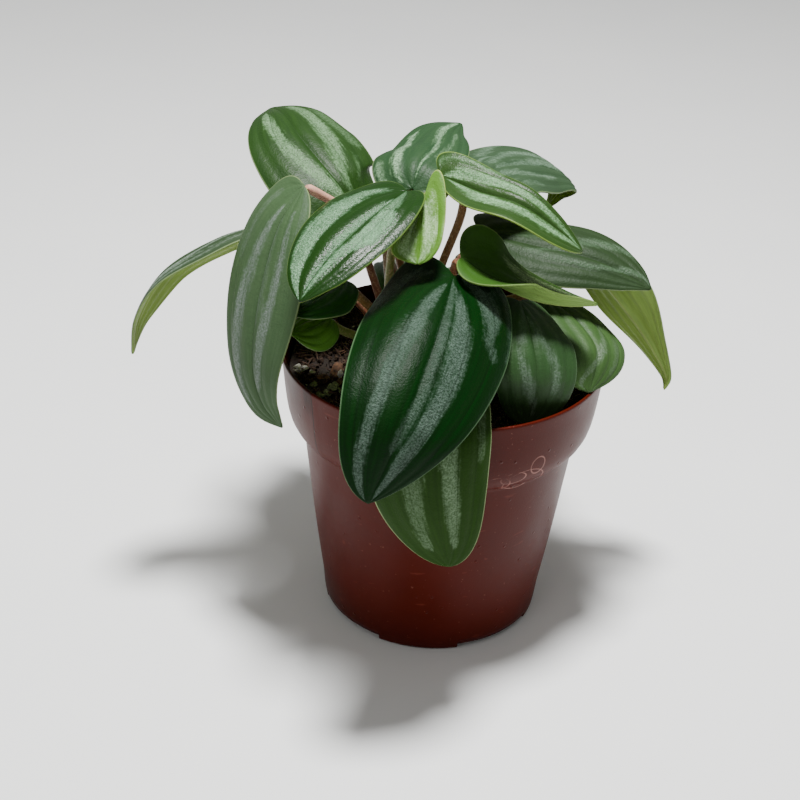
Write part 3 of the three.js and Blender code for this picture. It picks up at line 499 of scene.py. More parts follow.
# Petioles: fleshy reddish or green stalks about 3 mm thick, one to a leaf. Each stands upright in the
# mix, a little swollen at its foot, arches over and ends under its blade's notch.
class Leaf:
    """One leaf's driving sizes in millimetres, the same as the CAD model's."""

    def __init__(self, name, root, approach, midrib, facing, width, rise=0.35, curl=((30, 25), (30, 25)),
                 left=(-0.3, 1, 0.95, 0.72), right=(-0.3, 1, 0.95, 0.72), fold=((0, 0), (0, 0)),
                 stalk=1.4, wave=0.5):
        self.name, self.stalk, self.root, self.rise, self.approach = name, stalk, root, rise, approach
        self.width, self.curl, self.fold, self.halves, self.wave = width, curl, fold, (left, right), wave
        self.steps = 200
        self.line, self.length = self.ridge(np.array(midrib, float))
        ahead = np.gradient(self.line, axis=0)
        self.ahead = ahead / np.linalg.norm(ahead, axis=1, keepdims=True)
        place = np.linspace(0, 1, self.steps + 1)
        stops = np.linspace(0, 1, len(facing))
        up = np.stack([np.interp(place, stops, [f[k] for f in facing]) for k in range(3)], -1)
        up -= (up * self.ahead).sum(1, keepdims=True) * self.ahead
        self.up = up / np.linalg.norm(up, axis=1, keepdims=True)
        self.side = np.cross(self.ahead, self.up)

    def ridge(self, points):
        """Evenly spaced points on a smooth line from the junction to the tip."""
        ends = np.vstack([2 * points[0] - points[1], points, 2 * points[-1] - points[-2]])
        fine = []
        for a, b, c, d in zip(ends, ends[1:], ends[2:], ends[3:]):
            for s in np.arange(40) / 40:
                fine.append(0.5 * (2 * b + (c - a) * s + (2 * a - 5 * b + 4 * c - d) * s * s
                                   + (3 * b - a - 3 * c + d) * s ** 3))
        fine = np.array(fine + [points[-1]])
        run = np.concatenate([[0], np.cumsum(np.linalg.norm(np.diff(fine, axis=0), axis=1))])
        even = np.linspace(0, run[-1], self.steps + 1)
        return np.stack([np.interp(even, run, fine[:, k]) for k in range(3)], -1), run[-1]


# Each leaf has its name, where its petiole stands, how that arrives under the blade, points along the
# midrib, the way the upper face looks along it and the blade's width; then what isn't as usual.
leaves = [
    Leaf("front_leaf", (-3, -2.5), (0.1, -0.4, 0.9),
         ((1, -23, 130.5), (-3.5, -51, 125), (-11.5, -74, 109), (-21, -80, 85.5)),
         ((0.06, -0.59, 0.81), (0.16, -0.89, 0.43)), 47, curl=((41, 23), (46, 24)), fold=((5, 6), (3, -6)),
         left=(-0.38, 1.07, 1.05, 0.68), right=(-0.55, 0.99, 1.03, 0.96), wave=0.3),
    Leaf("low_front_leaf", (5.5, 1), (-0.2, -0.6, 0.8),
         ((-2.5, -25, 110.5), (-2.5, -49.5, 106.5), (-2.5, -62.5, 97.5), (-1, -66, 78), (3.5, -65, 54.5)),
         ((0.18, -0.57, 0.8), (0.02, -1, 0.08)), 39.5, rise=0.3, curl=((31, 24), (28, 21)),
         fold=((4, 5), (-2, 11)), left=(-0.42, 0.91, 0.95, 1.04), right=(-0.38, 1.08, 1.26, 0.94)),
    Leaf("left_leaf", (-15, 16), (-0.7, -0.5, 0.6),
         ((-45, -8, 151), (-52.5, -14.5, 139.5), (-57.5, -21.5, 119.5), (-59, -26, 100.5), (-56, -28, 87.5),
          (-49.5, -29.5, 79)),
         ((-0.52, -0.5, 0.7), (-0.75, -0.64, 0.18)), 35.5, rise=0.55, curl=((43, 29), (40, 26)),
         fold=((-9, -5), (-8, -8)), left=(0.06, 0.84, 0.89, 0.72), right=(-0.14, 1.02, 0.98, 0.73)),
    Leaf("glossy_leaf", (-18.5, 0), (0.3, -0.7, 0.7),
         ((-14, -11, 152), (-21.5, -22, 150.5), (-32, -35.5, 145.5), (-39.5, -45, 138.5), (-43, -50.5, 133)),
         ((-0.2, -0.35, 0.9), (-0.33, -0.7, 0.63)), 37, rise=0.25, curl=((31, 35), (29, 34)),
         fold=((-14, -3), (-6, -2)), left=(-0.2, 0.46, 0.85, 0.74), right=(-0.25, 0.9, 1.05, 0.75),
         wave=0.3),
    Leaf("rear_left_leaf", (-18.5, 10.5), (-0.1, 0, 1),
         ((-28.5, 9, 136), (-37, 11.5, 146), (-48.5, 25, 153.5), (-55.5, 41, 155.5), (-61, 55.5, 152.5)),
         ((0.3, -0.53, 0.79), (-0.12, -0.26, 0.96)), 43.5, fold=((0, -1), (3, 0)),
         left=(-0.32, 0.95, 0.82, 0.7), right=(-0.13, 0.94, 0.91, 0.72)),
    Leaf("rear_centre_leaf", (-15, 3.5), (0.8, -0.3, 0.6),
         ((-12.5, 2.5, 147.5), (-11, 8, 153), (-6.5, 19.5, 155), (-3, 33.5, 155.5), (2.5, 43.5, 154.5)),
         ((-0.21, -0.75, 0.62), (-0.12, -0.3, 0.95)), 35, curl=((30, 31), (30, 30)), fold=((1, 2), (0, 2)),
         left=(-0.23, 0.97, 0.95, 0.73), right=(-0.3, 0.85, 0.6, 0.69), wave=0.6),
    Leaf("young_curled_leaf", (-9.5, 2.5), (-0.2, -0.5, 0.6),
         ((-9, -14.5, 150), (-9.5, -18.5, 145.5), (-9.5, -24, 141.5), (-10, -28.5, 136.5)),
         ((0.05, -0.88, 0.5), (0, -0.9, 0.4)), 19.5, stalk=1, curl=((-45, -20), (-10, -20)),
         fold=((-6, -4), (26, 0, -4)), left=(-1.6, 0.12, 1.22, 0.8), right=(0.45, 0.2, 1.35, 1), wave=0.3),
    Leaf("young_channelled_leaf", (-8, -2), (0.7, 0, 0.7),
         ((-4, -2.5, 154), (7.5, -10, 152.5), (19.5, -16, 151.5), (30.5, -19, 145.5), (39, -20, 139)),
         ((-0.1, -0.3, 0.95), (0.1, -0.25, 0.95), (0.24, -0.19, 0.95)), 25.5, stalk=1.1,
         curl=((20, 10), (20, 10)), fold=((-30, -12), (-22, -12)), left=(-0.45, 1, 0.4, 0.95),
         right=(0.12, 0.92, 0.95, 0.9), wave=0.4),
    Leaf("rear_right_leaf", (-6, 8), (-0.1, -0.4, 0.9),
         ((4, 7.5, 148), (16, 22.5, 148.5), (29.5, 36.5, 143.5), (38.5, 42, 137.5), (36.5, 41, 132.5),
          (32.5, 37, 129)),
         ((-0.03, -0.42, 0.91), (-0.09, -0.32, 0.94), (0.47, 0.01, 0.88), (0.79, 0.58, -0.19)), 35.5,
         rise=0.6, curl=((20, 20), (20, 20)), left=(-0.31, 0.99, 0.98, 0.71),
         right=(-0.36, 0.91, 0.86, 0.67)),
    Leaf("right_leaf", (0, 5.5), (0.7, -0.1, 0.7),
         ((10, 4, 133), (25, 4, 130), (44, 2.5, 127), (56.5, 0.5, 122.5), (64, -1.5, 119)),
         ((0.11, -0.27, 0.96), (0.31, -0.53, 0.79)), 37, rise=0.4, curl=((35, 30), (35, 30)),
         fold=((0, -1), (-1, -1)), left=(-0.29, 1.01, 0.97, 0.71), right=(-0.32, 0.9, 0.7, 0.69)),
    Leaf("right_hanging_leaf", (-4.5, 21.5), (0.5, 0, 0.9),
         ((46, 24, 116), (56.5, 24.5, 104.5), (66, 24, 93), (72.5, 22.5, 84), (77, 21, 76),
          (76.5, 20, 71.5)),
         ((0.5, 0.75, 0.4), (0.55, 0.75, 0.35)), 38, rise=0.25, curl=((18, 15), (15, 20)),
         fold=((-14, -4), (-6, -6)), left=(-0.2, 0.85, 0.38, 0.72), right=(-0.31, 1.6, 0.2, 0.66), wave=0.9),
    Leaf("twisted_leaf", (1, 0), (0.1, -0.8, 0.6),
         ((3, -18.5, 134.5), (12.5, -21, 129), (24.5, -21.5, 124), (35, -22, 122.5), (45, -23, 123.5)),
         ((0, -0.05, 1), (0, -0.05, 1), (-0.1, 0.1, 0.98)), 28.5, rise=0.3,
         curl=((-12, 14, 10), (15, 20, 5)), fold=((-42, -20, -4), (-2, -54, -50)),
         left=(-0.4, 1.02, 0.82, 0.7), right=(-0.1, 0.8, 0.78, 0.72), wave=0.8),
    Leaf("inner_right_leaf", (7.5, 5.5), (0.3, -0.5, 0.8),
         ((22, -14.5, 119), (25.5, -28.5, 114), (27.5, -35.5, 103.5), (26, -35, 88)),
         ((0.43, -0.63, 0.65), (0.2, -0.94, 0.28)), 29, curl=((8, 14), (35, 25)), fold=((8, 0), (2, -1)),
         left=(-0.35, 0.94, 1.1, 1.05), right=(-0.25, 0.93, 0.95, 1.05)),
    Leaf("rim_leaf", (6, 14), (0.6, -0.3, 0.8),
         ((32, 1.5, 112.5), (41, -6.5, 109.5), (47, -18, 104.5), (45, -25.5, 94.5)),
         ((0.37, -0.05, 0.93), (0.45, -0.66, 0.6)), 34, curl=((30, 25), (45, 35)),
         left=(-0.33, 0.99, 0.96, 0.65), right=(-0.15, 0.79, 0.85, 1.09)),
    Leaf("far_left_leaf", (-20.5, 5), (-0.7, 0.1, 0.7),
         ((-59.5, 11.5, 129), (-73, 9, 124.5), (-89.5, 6, 114), (-98.5, 2, 99.5), (-100.5, -2.5, 88)),
         ((-0.19, 0.44, 0.88), (-0.66, 0.37, 0.65)), 26.5, rise=0.4, curl=((28, 27), (27, 26)),
         fold=((4, 4), (4, 3)), left=(-0.31, 1.02, 0.96, 0.71), right=(-0.3, 1.02, 0.98, 0.72)),
    Leaf("shaded_leaf", (-12.5, -1), (-0.5, -0.4, 0.7),
         ((-31.5, -12, 122), (-36.5, -17, 120.5), (-41.5, -22, 119), (-47, -26, 116.5)),
         ((-0.3, -0.1, 0.95), (-0.3, -0.4, 0.87)), 24, rise=0.25, curl=((45, 45), (30, 25)),
         left=(-0.1, 0.8, 0.85, 0.73), right=(-0.2, 0.9, 0.96, 0.73)),
    Leaf("small_low_leaf", (-7, -6.5), (-0.5, -0.4, 0.8),
         ((-36, -14, 110), (-41, -18.5, 109), (-47.5, -22, 108)),
         ((0, -0.3, 0.95), (-0.2, -0.4, 0.9)), 17, curl=((50, 60), (25, 25)), left=(-0.1, 0.9, 1.05, 0.85),
         right=(-0.2, 0.9, 1, 0.8)),
    Leaf("back_left_leaf", (-10, 11.5), (-0.3, 0.6, 0.8),
         ((-18, 22, 124), (-32, 40, 124), (-44, 58, 114), (-50, 72, 100)),
         ((-0.2, 0.2, 0.95), (-0.4, 0.6, 0.7)), 32),
    Leaf("back_leaf", (-6, 14.5), (-0.3, 0.6, 0.7),
         ((-10, 26, 99), (-13, 42, 102.5), (-16, 58, 97), (-17, 68, 84)),
         ((0, 0.2, 0.95), (0, 0.7, 0.7)), 23),
    Leaf("back_right_leaf", (3, 10), (0.1, 0.3, 0.9),
         ((12, 28, 112), (23, 42, 111), (32, 56, 101), (37, 65, 87)),
         ((0.2, 0.2, 0.95), (0.5, 0.6, 0.6)), 30),
    Leaf("low_back_leaf", (0.5, 15.5), (0.1, 0.7, 0.7),
         ((4, 32, 95), (8, 46, 101), (12, 61, 94), (14, 69, 81)),
         ((0, 0.2, 0.95), (0.2, 0.7, 0.7)), 21, rise=0.4),
]


def stalk_points(leaf, count=44):
    """The petiole's centre line from its foot in the mix to the underside of the blade."""
    blade_half, seat_gap = 0.5, 0.3
    course = np.array(leaf.approach, float)
    course /= np.linalg.norm(course)
    seat = blade_half + seat_gap + leaf.stalk * (0.62 + 0.3 * max(0.0, float(course @ leaf.up[0])))
    head = leaf.line[0] - leaf.up[0] * seat - leaf.ahead[0] * 0.3
    ground = np.array([*leaf.root, soil_level + 1.0])
    span = np.linalg.norm(head - ground)
    handles = [ground, ground + np.array([0, 0, span * leaf.rise]), head - course * span * 0.35, head]
    s = np.linspace(0, 1, 400)[:, None]
    bend = ((1 - s) ** 3 * handles[0] + 3 * s * (1 - s) ** 2 * handles[1]
            + 3 * s ** 2 * (1 - s) * handles[2] + s ** 3 * handles[3])
    run = np.concatenate([[0], np.cumsum(np.linalg.norm(np.diff(bend, axis=0), axis=1))])
    even = np.linspace(0, run[-1], count)
    arch = np.stack([np.interp(even, run, bend[:, k]) for k in range(3)], -1)
    close = head + (arch[-1] - arch[-2]) / np.linalg.norm(arch[-1] - arch[-2]) * leaf.stalk * 0.8
    foot = np.array([*leaf.root, soil_level - 10.0])
    return np.vstack([foot, foot + [0, 0, 6], arch, close]), np.linspace(0, 1, count + 3)


def stalk_tree():
    """Geometry Nodes: a tube along the stalk's line, as thick as each point says, faintly knobbly."""
    made = new_tree("petiole_tube", (("Sides", "Int"), ("Knob height", "Float"), ("Material", "Material")))
    given = add_node(made, "NodeGroupInput").outputs
    line = add_node(made, "GeometryNodeMeshToCurve", Mesh=given["Geometry"])
    section = add_node(made, "GeometryNodeCurvePrimitiveCircle", Resolution=given["Sides"], Radius=1.0)
    thickness = add_node(made, "GeometryNodeInputNamedAttribute", {"data_type": "FLOAT"}, Name="thickness")
    tube = add_node(made, "GeometryNodeCurveToMesh", Curve=line.outputs[0], Profile_Curve=section.outputs[0],
                    Scale=thickness.outputs[0], Fill_Caps=True)
    where = add_node(made, "GeometryNodeInputPosition")
    outward = add_node(made, "GeometryNodeInputNormal")
    knob = add_node(made, "ShaderNodeTexNoise", Vector=where.outputs[0], Scale=260.0, Detail=2.0)
    centred = add_node(made, "ShaderNodeMath", {"operation": "SUBTRACT"}, i0=knob.outputs[0], i1=0.5)
    height = add_node(made, "ShaderNodeMath", {"operation": "MULTIPLY"}, i0=centred.outputs[0],
                      i1=given["Knob height"])
    push = add_node(made, "ShaderNodeVectorMath", {"operation": "SCALE"}, i0=outward.outputs[0],
                    Scale=height.outputs[0])
    shaped = add_node(made, "GeometryNodeSetPosition", Geometry=tube.outputs[0], Offset=push.outputs[0])
    smooth = add_node(made, "GeometryNodeSetShadeSmooth", Geometry=shaped.outputs[0])
    real = add_node(made, "GeometryNodeRealizeInstances", Geometry=smooth.outputs[0])
    finished = add_node(made, "GeometryNodeSetMaterial", Geometry=real.outputs[0], Material=given["Material"])
    out = add_node(made, "NodeGroupOutput")
    made.links.new(finished.outputs[0], out.inputs[0])
    return made


def petiole_skin(name, low, high):
    """Fleshy stalk skin: low colour at the mix to high colour at the blade, finely streaked and dotted."""
    made, tree, shader = new_material(name)
    place = add_node(tree, "ShaderNodeTexCoord").outputs["Object"]
    along = add_node(tree, "ShaderNodeAttribute", {"attribute_name": "along"}).outputs["Fac"]
    cloud = add_node(tree, "ShaderNodeTexNoise", Vector=place, Scale=110.0, Detail=3.0)
    shift = add_node(tree, "ShaderNodeMath", {"operation": "MULTIPLY_ADD"}, i0=cloud.outputs[0], i1=0.5,
                     i2=-0.25)
    blended = add_node(tree, "ShaderNodeMath", {"operation": "ADD", "use_clamp": True}, i0=along,
                       i1=shift.outputs[0])
    skin = add_node(tree, "ShaderNodeMix", {"data_type": "RGBA"}, Factor=blended.outputs[0],
                    i6=linear(low), i7=linear(high))
    dots = add_node(tree, "ShaderNodeTexNoise", Vector=place, Scale=1300.0, Detail=2.0)
    dot_mask = add_node(tree, "ShaderNodeMapRange", Value=dots.outputs[0], i1=0.52, i2=0.7, i4=0.55)
    dotted = add_node(tree, "ShaderNodeMix", {"data_type": "RGBA"}, Factor=dot_mask.outputs[0],
                      i6=skin.outputs[2], i7=linear("#c9a888"))
    tree.links.new(dotted.outputs[2], shader.inputs["Base Color"])
    shader.inputs["Roughness"].default_value = 0.42
    shader.inputs["IOR"].default_value = 1.42
    bump = add_node(tree, "ShaderNodeBump", Height=dots.outputs[0], Strength=0.25, Distance=0.0003)
    tree.links.new(bump.outputs[0], shader.inputs["Normal"])
    return made


# The petiole colours at the foot and at the blade, for each leaf.
stalk_colours = {
    "front_leaf": ("#5a3524", "#8a5a3a"), "low_front_leaf": ("#5a3524", "#7f6a35"),
    "left_leaf": ("#7a4636", "#c49480"), "glossy_leaf": ("#6c5a30", "#83924e"),
    "rear_left_leaf": ("#5f3426", "#a0705a"), "rear_centre_leaf": ("#4f3020", "#7d6a42"),
    "young_curled_leaf": ("#77803f", "#9aa861"), "young_channelled_leaf": ("#77803f", "#93a05a"),
    "rear_right_leaf": ("#7a5238", "#a07650"), "right_leaf": ("#5c3020", "#95624a"),
    "right_hanging_leaf": ("#6a4028", "#b5936a"), "twisted_leaf": ("#4d2a1e", "#8a5a40"),
    "inner_right_leaf": ("#5c3020", "#a5785a"), "rim_leaf": ("#5c3020", "#a5785a"),
    "far_left_leaf": ("#5c3020", "#a0654a"), "shaded_leaf": ("#4a2c1c", "#8a6a3c"),
    "small_low_leaf": ("#6c6a30", "#83924e"), "back_left_leaf": ("#5f3426", "#a0705a"),
    "back_leaf": ("#5c3020", "#95624a"), "back_right_leaf": ("#5c3020", "#95624a"),
    "low_back_leaf": ("#5c3020", "#95624a"),
}
tube_tree = stalk_tree()
for leaf in leaves:
    points, along = stalk_points(leaf)
    centre_line = bpy.data.meshes.new("centre_line")
    centre_line.from_pydata([tuple(p / 1000) for p in points], [(k, k + 1) for k in range(len(points) - 1)],
                            [])
    rounding = np.ones(len(points))
    rounding[-1], rounding[-2] = 0.55, 0.93
    swelling = 1 + 0.25 * np.clip(1 - along * 3, 0, 1) ** 2 + 0.12 * np.clip(along * 8 - 7, 0, 1)
    for label, values in (("thickness", leaf.stalk * 0.97 * swelling * rounding / 1000), ("along", along)):
        centre_line.attributes.new(label, "FLOAT", "POINT").data.foreach_set("value", values)
    petiole = bpy.data.objects.new(f"{leaf.name}_stalk", centre_line)
    bpy.context.scene.collection.objects.link(petiole)
    skin = petiole_skin(f"fleshy_stalk_skin_{leaf.name}", *stalk_colours[leaf.name])
    grow(petiole, "tube", tube_tree, {"Sides": 16, "Knob height": 0.00022, "Material": skin})
    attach(petiole, "root")
    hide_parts(f"{leaf.name}_petiole")


# Blades: thick, smooth, heart-shaped leaves with silver bands between five sunken veins. Each is grown
# in one sheet about 1 mm thick; its margin is thin, pale and slightly waved.
vein_places = (0.0, 0.38, 0.72, 1.0)


def blade_sheet(leaf, rows=64, half_columns=24):
    """Both faces of a blade as grids of points in millimetres, with where each lies on it."""
    q = np.arange(half_columns + 1) / half_columns
    crowded = q - 0.11 * np.sin(2 * np.pi * q)
    t = np.concatenate([-crowded[:0:-1], crowded])[None, :]
    s = (np.arange(rows + 1) / rows)[:, None]
    a = np.abs(t)
    lobe, low, high, shoulder = [np.where(t > 0, leaf.halves[1][k], leaf.halves[0][k]) for k in range(4)]
    reach = leaf.width * 0.667
    x = 3 * s * (1 - s) ** 2 * low * reach * t + 3 * s * s * (1 - s) * high * reach * t
    y = (3 * s * (1 - s) ** 2 * (1 / 3 + (lobe - 1 / 3) * a ** 1.3)
         + 3 * s * s * (1 - s) * (2 / 3 + (shoulder - 2 / 3) * a) + s ** 3)
    u = np.clip(y, 0, 1)

    def along(values):
        return np.interp(u, np.linspace(0, 1, len(values)), values)

    fold, curl = [np.radians(np.where(t > 0, along(pair[1]), along(pair[0])))
                  for pair in (leaf.fold, leaf.curl)]
    bend = np.where(np.abs(curl) < 1e-3, 1e-3, curl) / (leaf.width / 2)
    out = np.abs(x)
    across = (np.sin(fold + bend * out) - np.sin(fold)) / bend * np.sign(x)
    lift = (np.cos(fold + bend * out) - np.cos(fold)) / bend
    band = np.clip(np.searchsorted(vein_places, np.broadcast_to(a, x.shape), side="right") - 1, 0, 2)
    veins = np.array(vein_places)
    phase = (a - veins[band]) / (veins[band + 1] - veins[band])
    swell = np.sin(np.pi * s) ** 0.6
    lift = lift + 0.55 * np.sin(np.pi * phase) * swell * (1 - 0.3 * band)
    lift = lift + leaf.wave * np.sin(4 * np.pi * s + 1) * np.sign(t) * a ** 2 * np.sin(np.pi * s)
    frame_at = np.clip(np.rint(u * leaf.steps).astype(int), 0, leaf.steps)
    exact = u * leaf.steps
    lower = np.clip(exact.astype(int), 0, leaf.steps - 1)
    part = (exact - lower)[..., None]
    spine = leaf.line[lower] * (1 - part) + leaf.line[lower + 1] * part
    middle = (spine + leaf.ahead[frame_at] * (np.minimum(y, 0) * leaf.length)[..., None]
              + leaf.side[frame_at] * across[..., None] + leaf.up[frame_at] * lift[..., None])
    down = np.gradient(middle, axis=0)
    over = np.gradient(middle, axis=1)
    facing = np.cross(over, down)
    facing[0], facing[-1] = facing[1].sum(0), facing[-2].sum(0)
    facing /= np.maximum(np.linalg.norm(facing, axis=-1, keepdims=True), 1e-9)
    half_thick = (0.46 - 0.2 * np.broadcast_to(a, x.shape) ** 5) * np.ones_like(x)
    half_thick[0], half_thick[-1] = 0.3, 0.25
    side_veins = sum(np.exp(-((a - v) * leaf.width / 2 / 0.8) ** 2) for v in vein_places[1:3]) * swell
    rib = np.exp(-(out / 0.9) ** 2)
    groove = 0.28 * rib * swell + 0.15 * side_veins
    ridge = 0.5 * rib * (1 - 0.8 * s) * np.minimum(1, 12 * s) + 0.16 * side_veins
    top = middle + facing * (half_thick - groove)[..., None]
    under = middle - facing * (half_thick + ridge)[..., None]
    return top, under, middle, over, np.broadcast_to(t, x.shape), np.broadcast_to(s, x.shape)


def silver_reach(leaf, bands, t, s, farthest=3.0):
    """How far in millimetres each point lies inside the nearest silver band, and that band's strength.
    A band is its strength and its course: how far down the blade, where across it, and half width."""
    depth = np.full(t.shape, -farthest)
    strength = np.zeros(t.shape)
    for band_strength, course in bands:
        down, centre, half = np.array(course).T / 100
        inside = (np.interp(s, down, half) - np.abs(t - np.interp(s, down, centre))) * leaf.width / 2
        inside -= (np.clip(down[0] - s, 0, 1) + np.clip(s - down[-1], 0, 1)) * leaf.length
        nearer = inside > depth
        depth = np.where(nearer, inside, depth)
        strength = np.where(nearer, band_strength / 100, strength)
    return np.clip(depth, -farthest, farthest), strength


def blade_mesh(name, leaf, bands):
    """A closed blade: two faces, a rounded margin, and one point at the notch and at the tip."""
    top, under, middle, over, t, s = blade_sheet(leaf)
    depth, strength = silver_reach(leaf, bands, t, s)
    rows, columns = top.shape[0] - 1, top.shape[1] - 1
    points, marks = [], []

    def keep(p, i, j, face):
        points.append(p / 1000)
        marks.append((t[i, j], s[i, j], face, depth[i, j], strength[i, j]))
        return len(points) - 1

    def grid(surface, face):
        ids = []
        for i in range(rows + 1):
            if i in (0, rows):
                ids.append([keep(surface[i].mean(0), i, columns // 2, face)] * (columns + 1))
            else:
                ids.append([keep(surface[i, j], i, j, face) for j in range(columns + 1)])
        return ids

    up_ids, down_ids = grid(top, 1.0), grid(under, 0.0)
    faces = []

    def face(*corners):
        ring = [c for k, c in enumerate(corners) if c != corners[k - 1]]
        if len(ring) > 2:
            faces.append(ring)

    for i in range(rows):
        for j in range(columns):
            face(up_ids[i][j], up_ids[i][j + 1], up_ids[i + 1][j + 1], up_ids[i + 1][j])
            face(down_ids[i][j], down_ids[i + 1][j], down_ids[i + 1][j + 1], down_ids[i][j + 1])
    for j, sign in ((0, -1), (columns, 1)):
        rim = []
        for i in range(rows + 1):
            if i in (0, rows):
                rim.append(None)
                continue
            outward = over[i, j] * sign
            outward = outward / max(np.linalg.norm(outward), 1e-9)
            rim.append(keep(middle[i, j] + outward * 0.16, i, j, 0.6))
        for i in range(rows):
            a, b = up_ids[i][j], up_ids[i + 1][j]
            c, d = down_ids[i][j], down_ids[i + 1][j]
            m, n = rim[i], rim[i + 1]
            upper_strip = [a, b] + [p for p in (n, m) if p is not None]
            lower_strip = [a if m is None else m, b if n is None else n, d, c]
            for strip in (upper_strip, lower_strip):
                faces.append(strip if sign < 0 else strip[::-1])
    made = bpy.data.meshes.new(name)
    made.from_pydata([tuple(p) for p in points], [], faces)
    for label, values in zip(("across", "along", "upper", "silver", "strength"), np.array(marks).T):
        made.attributes.new(label, "FLOAT", "POINT").data.foreach_set("value", values)
    for polygon in made.polygons:
        polygon.use_smooth = True
    return made


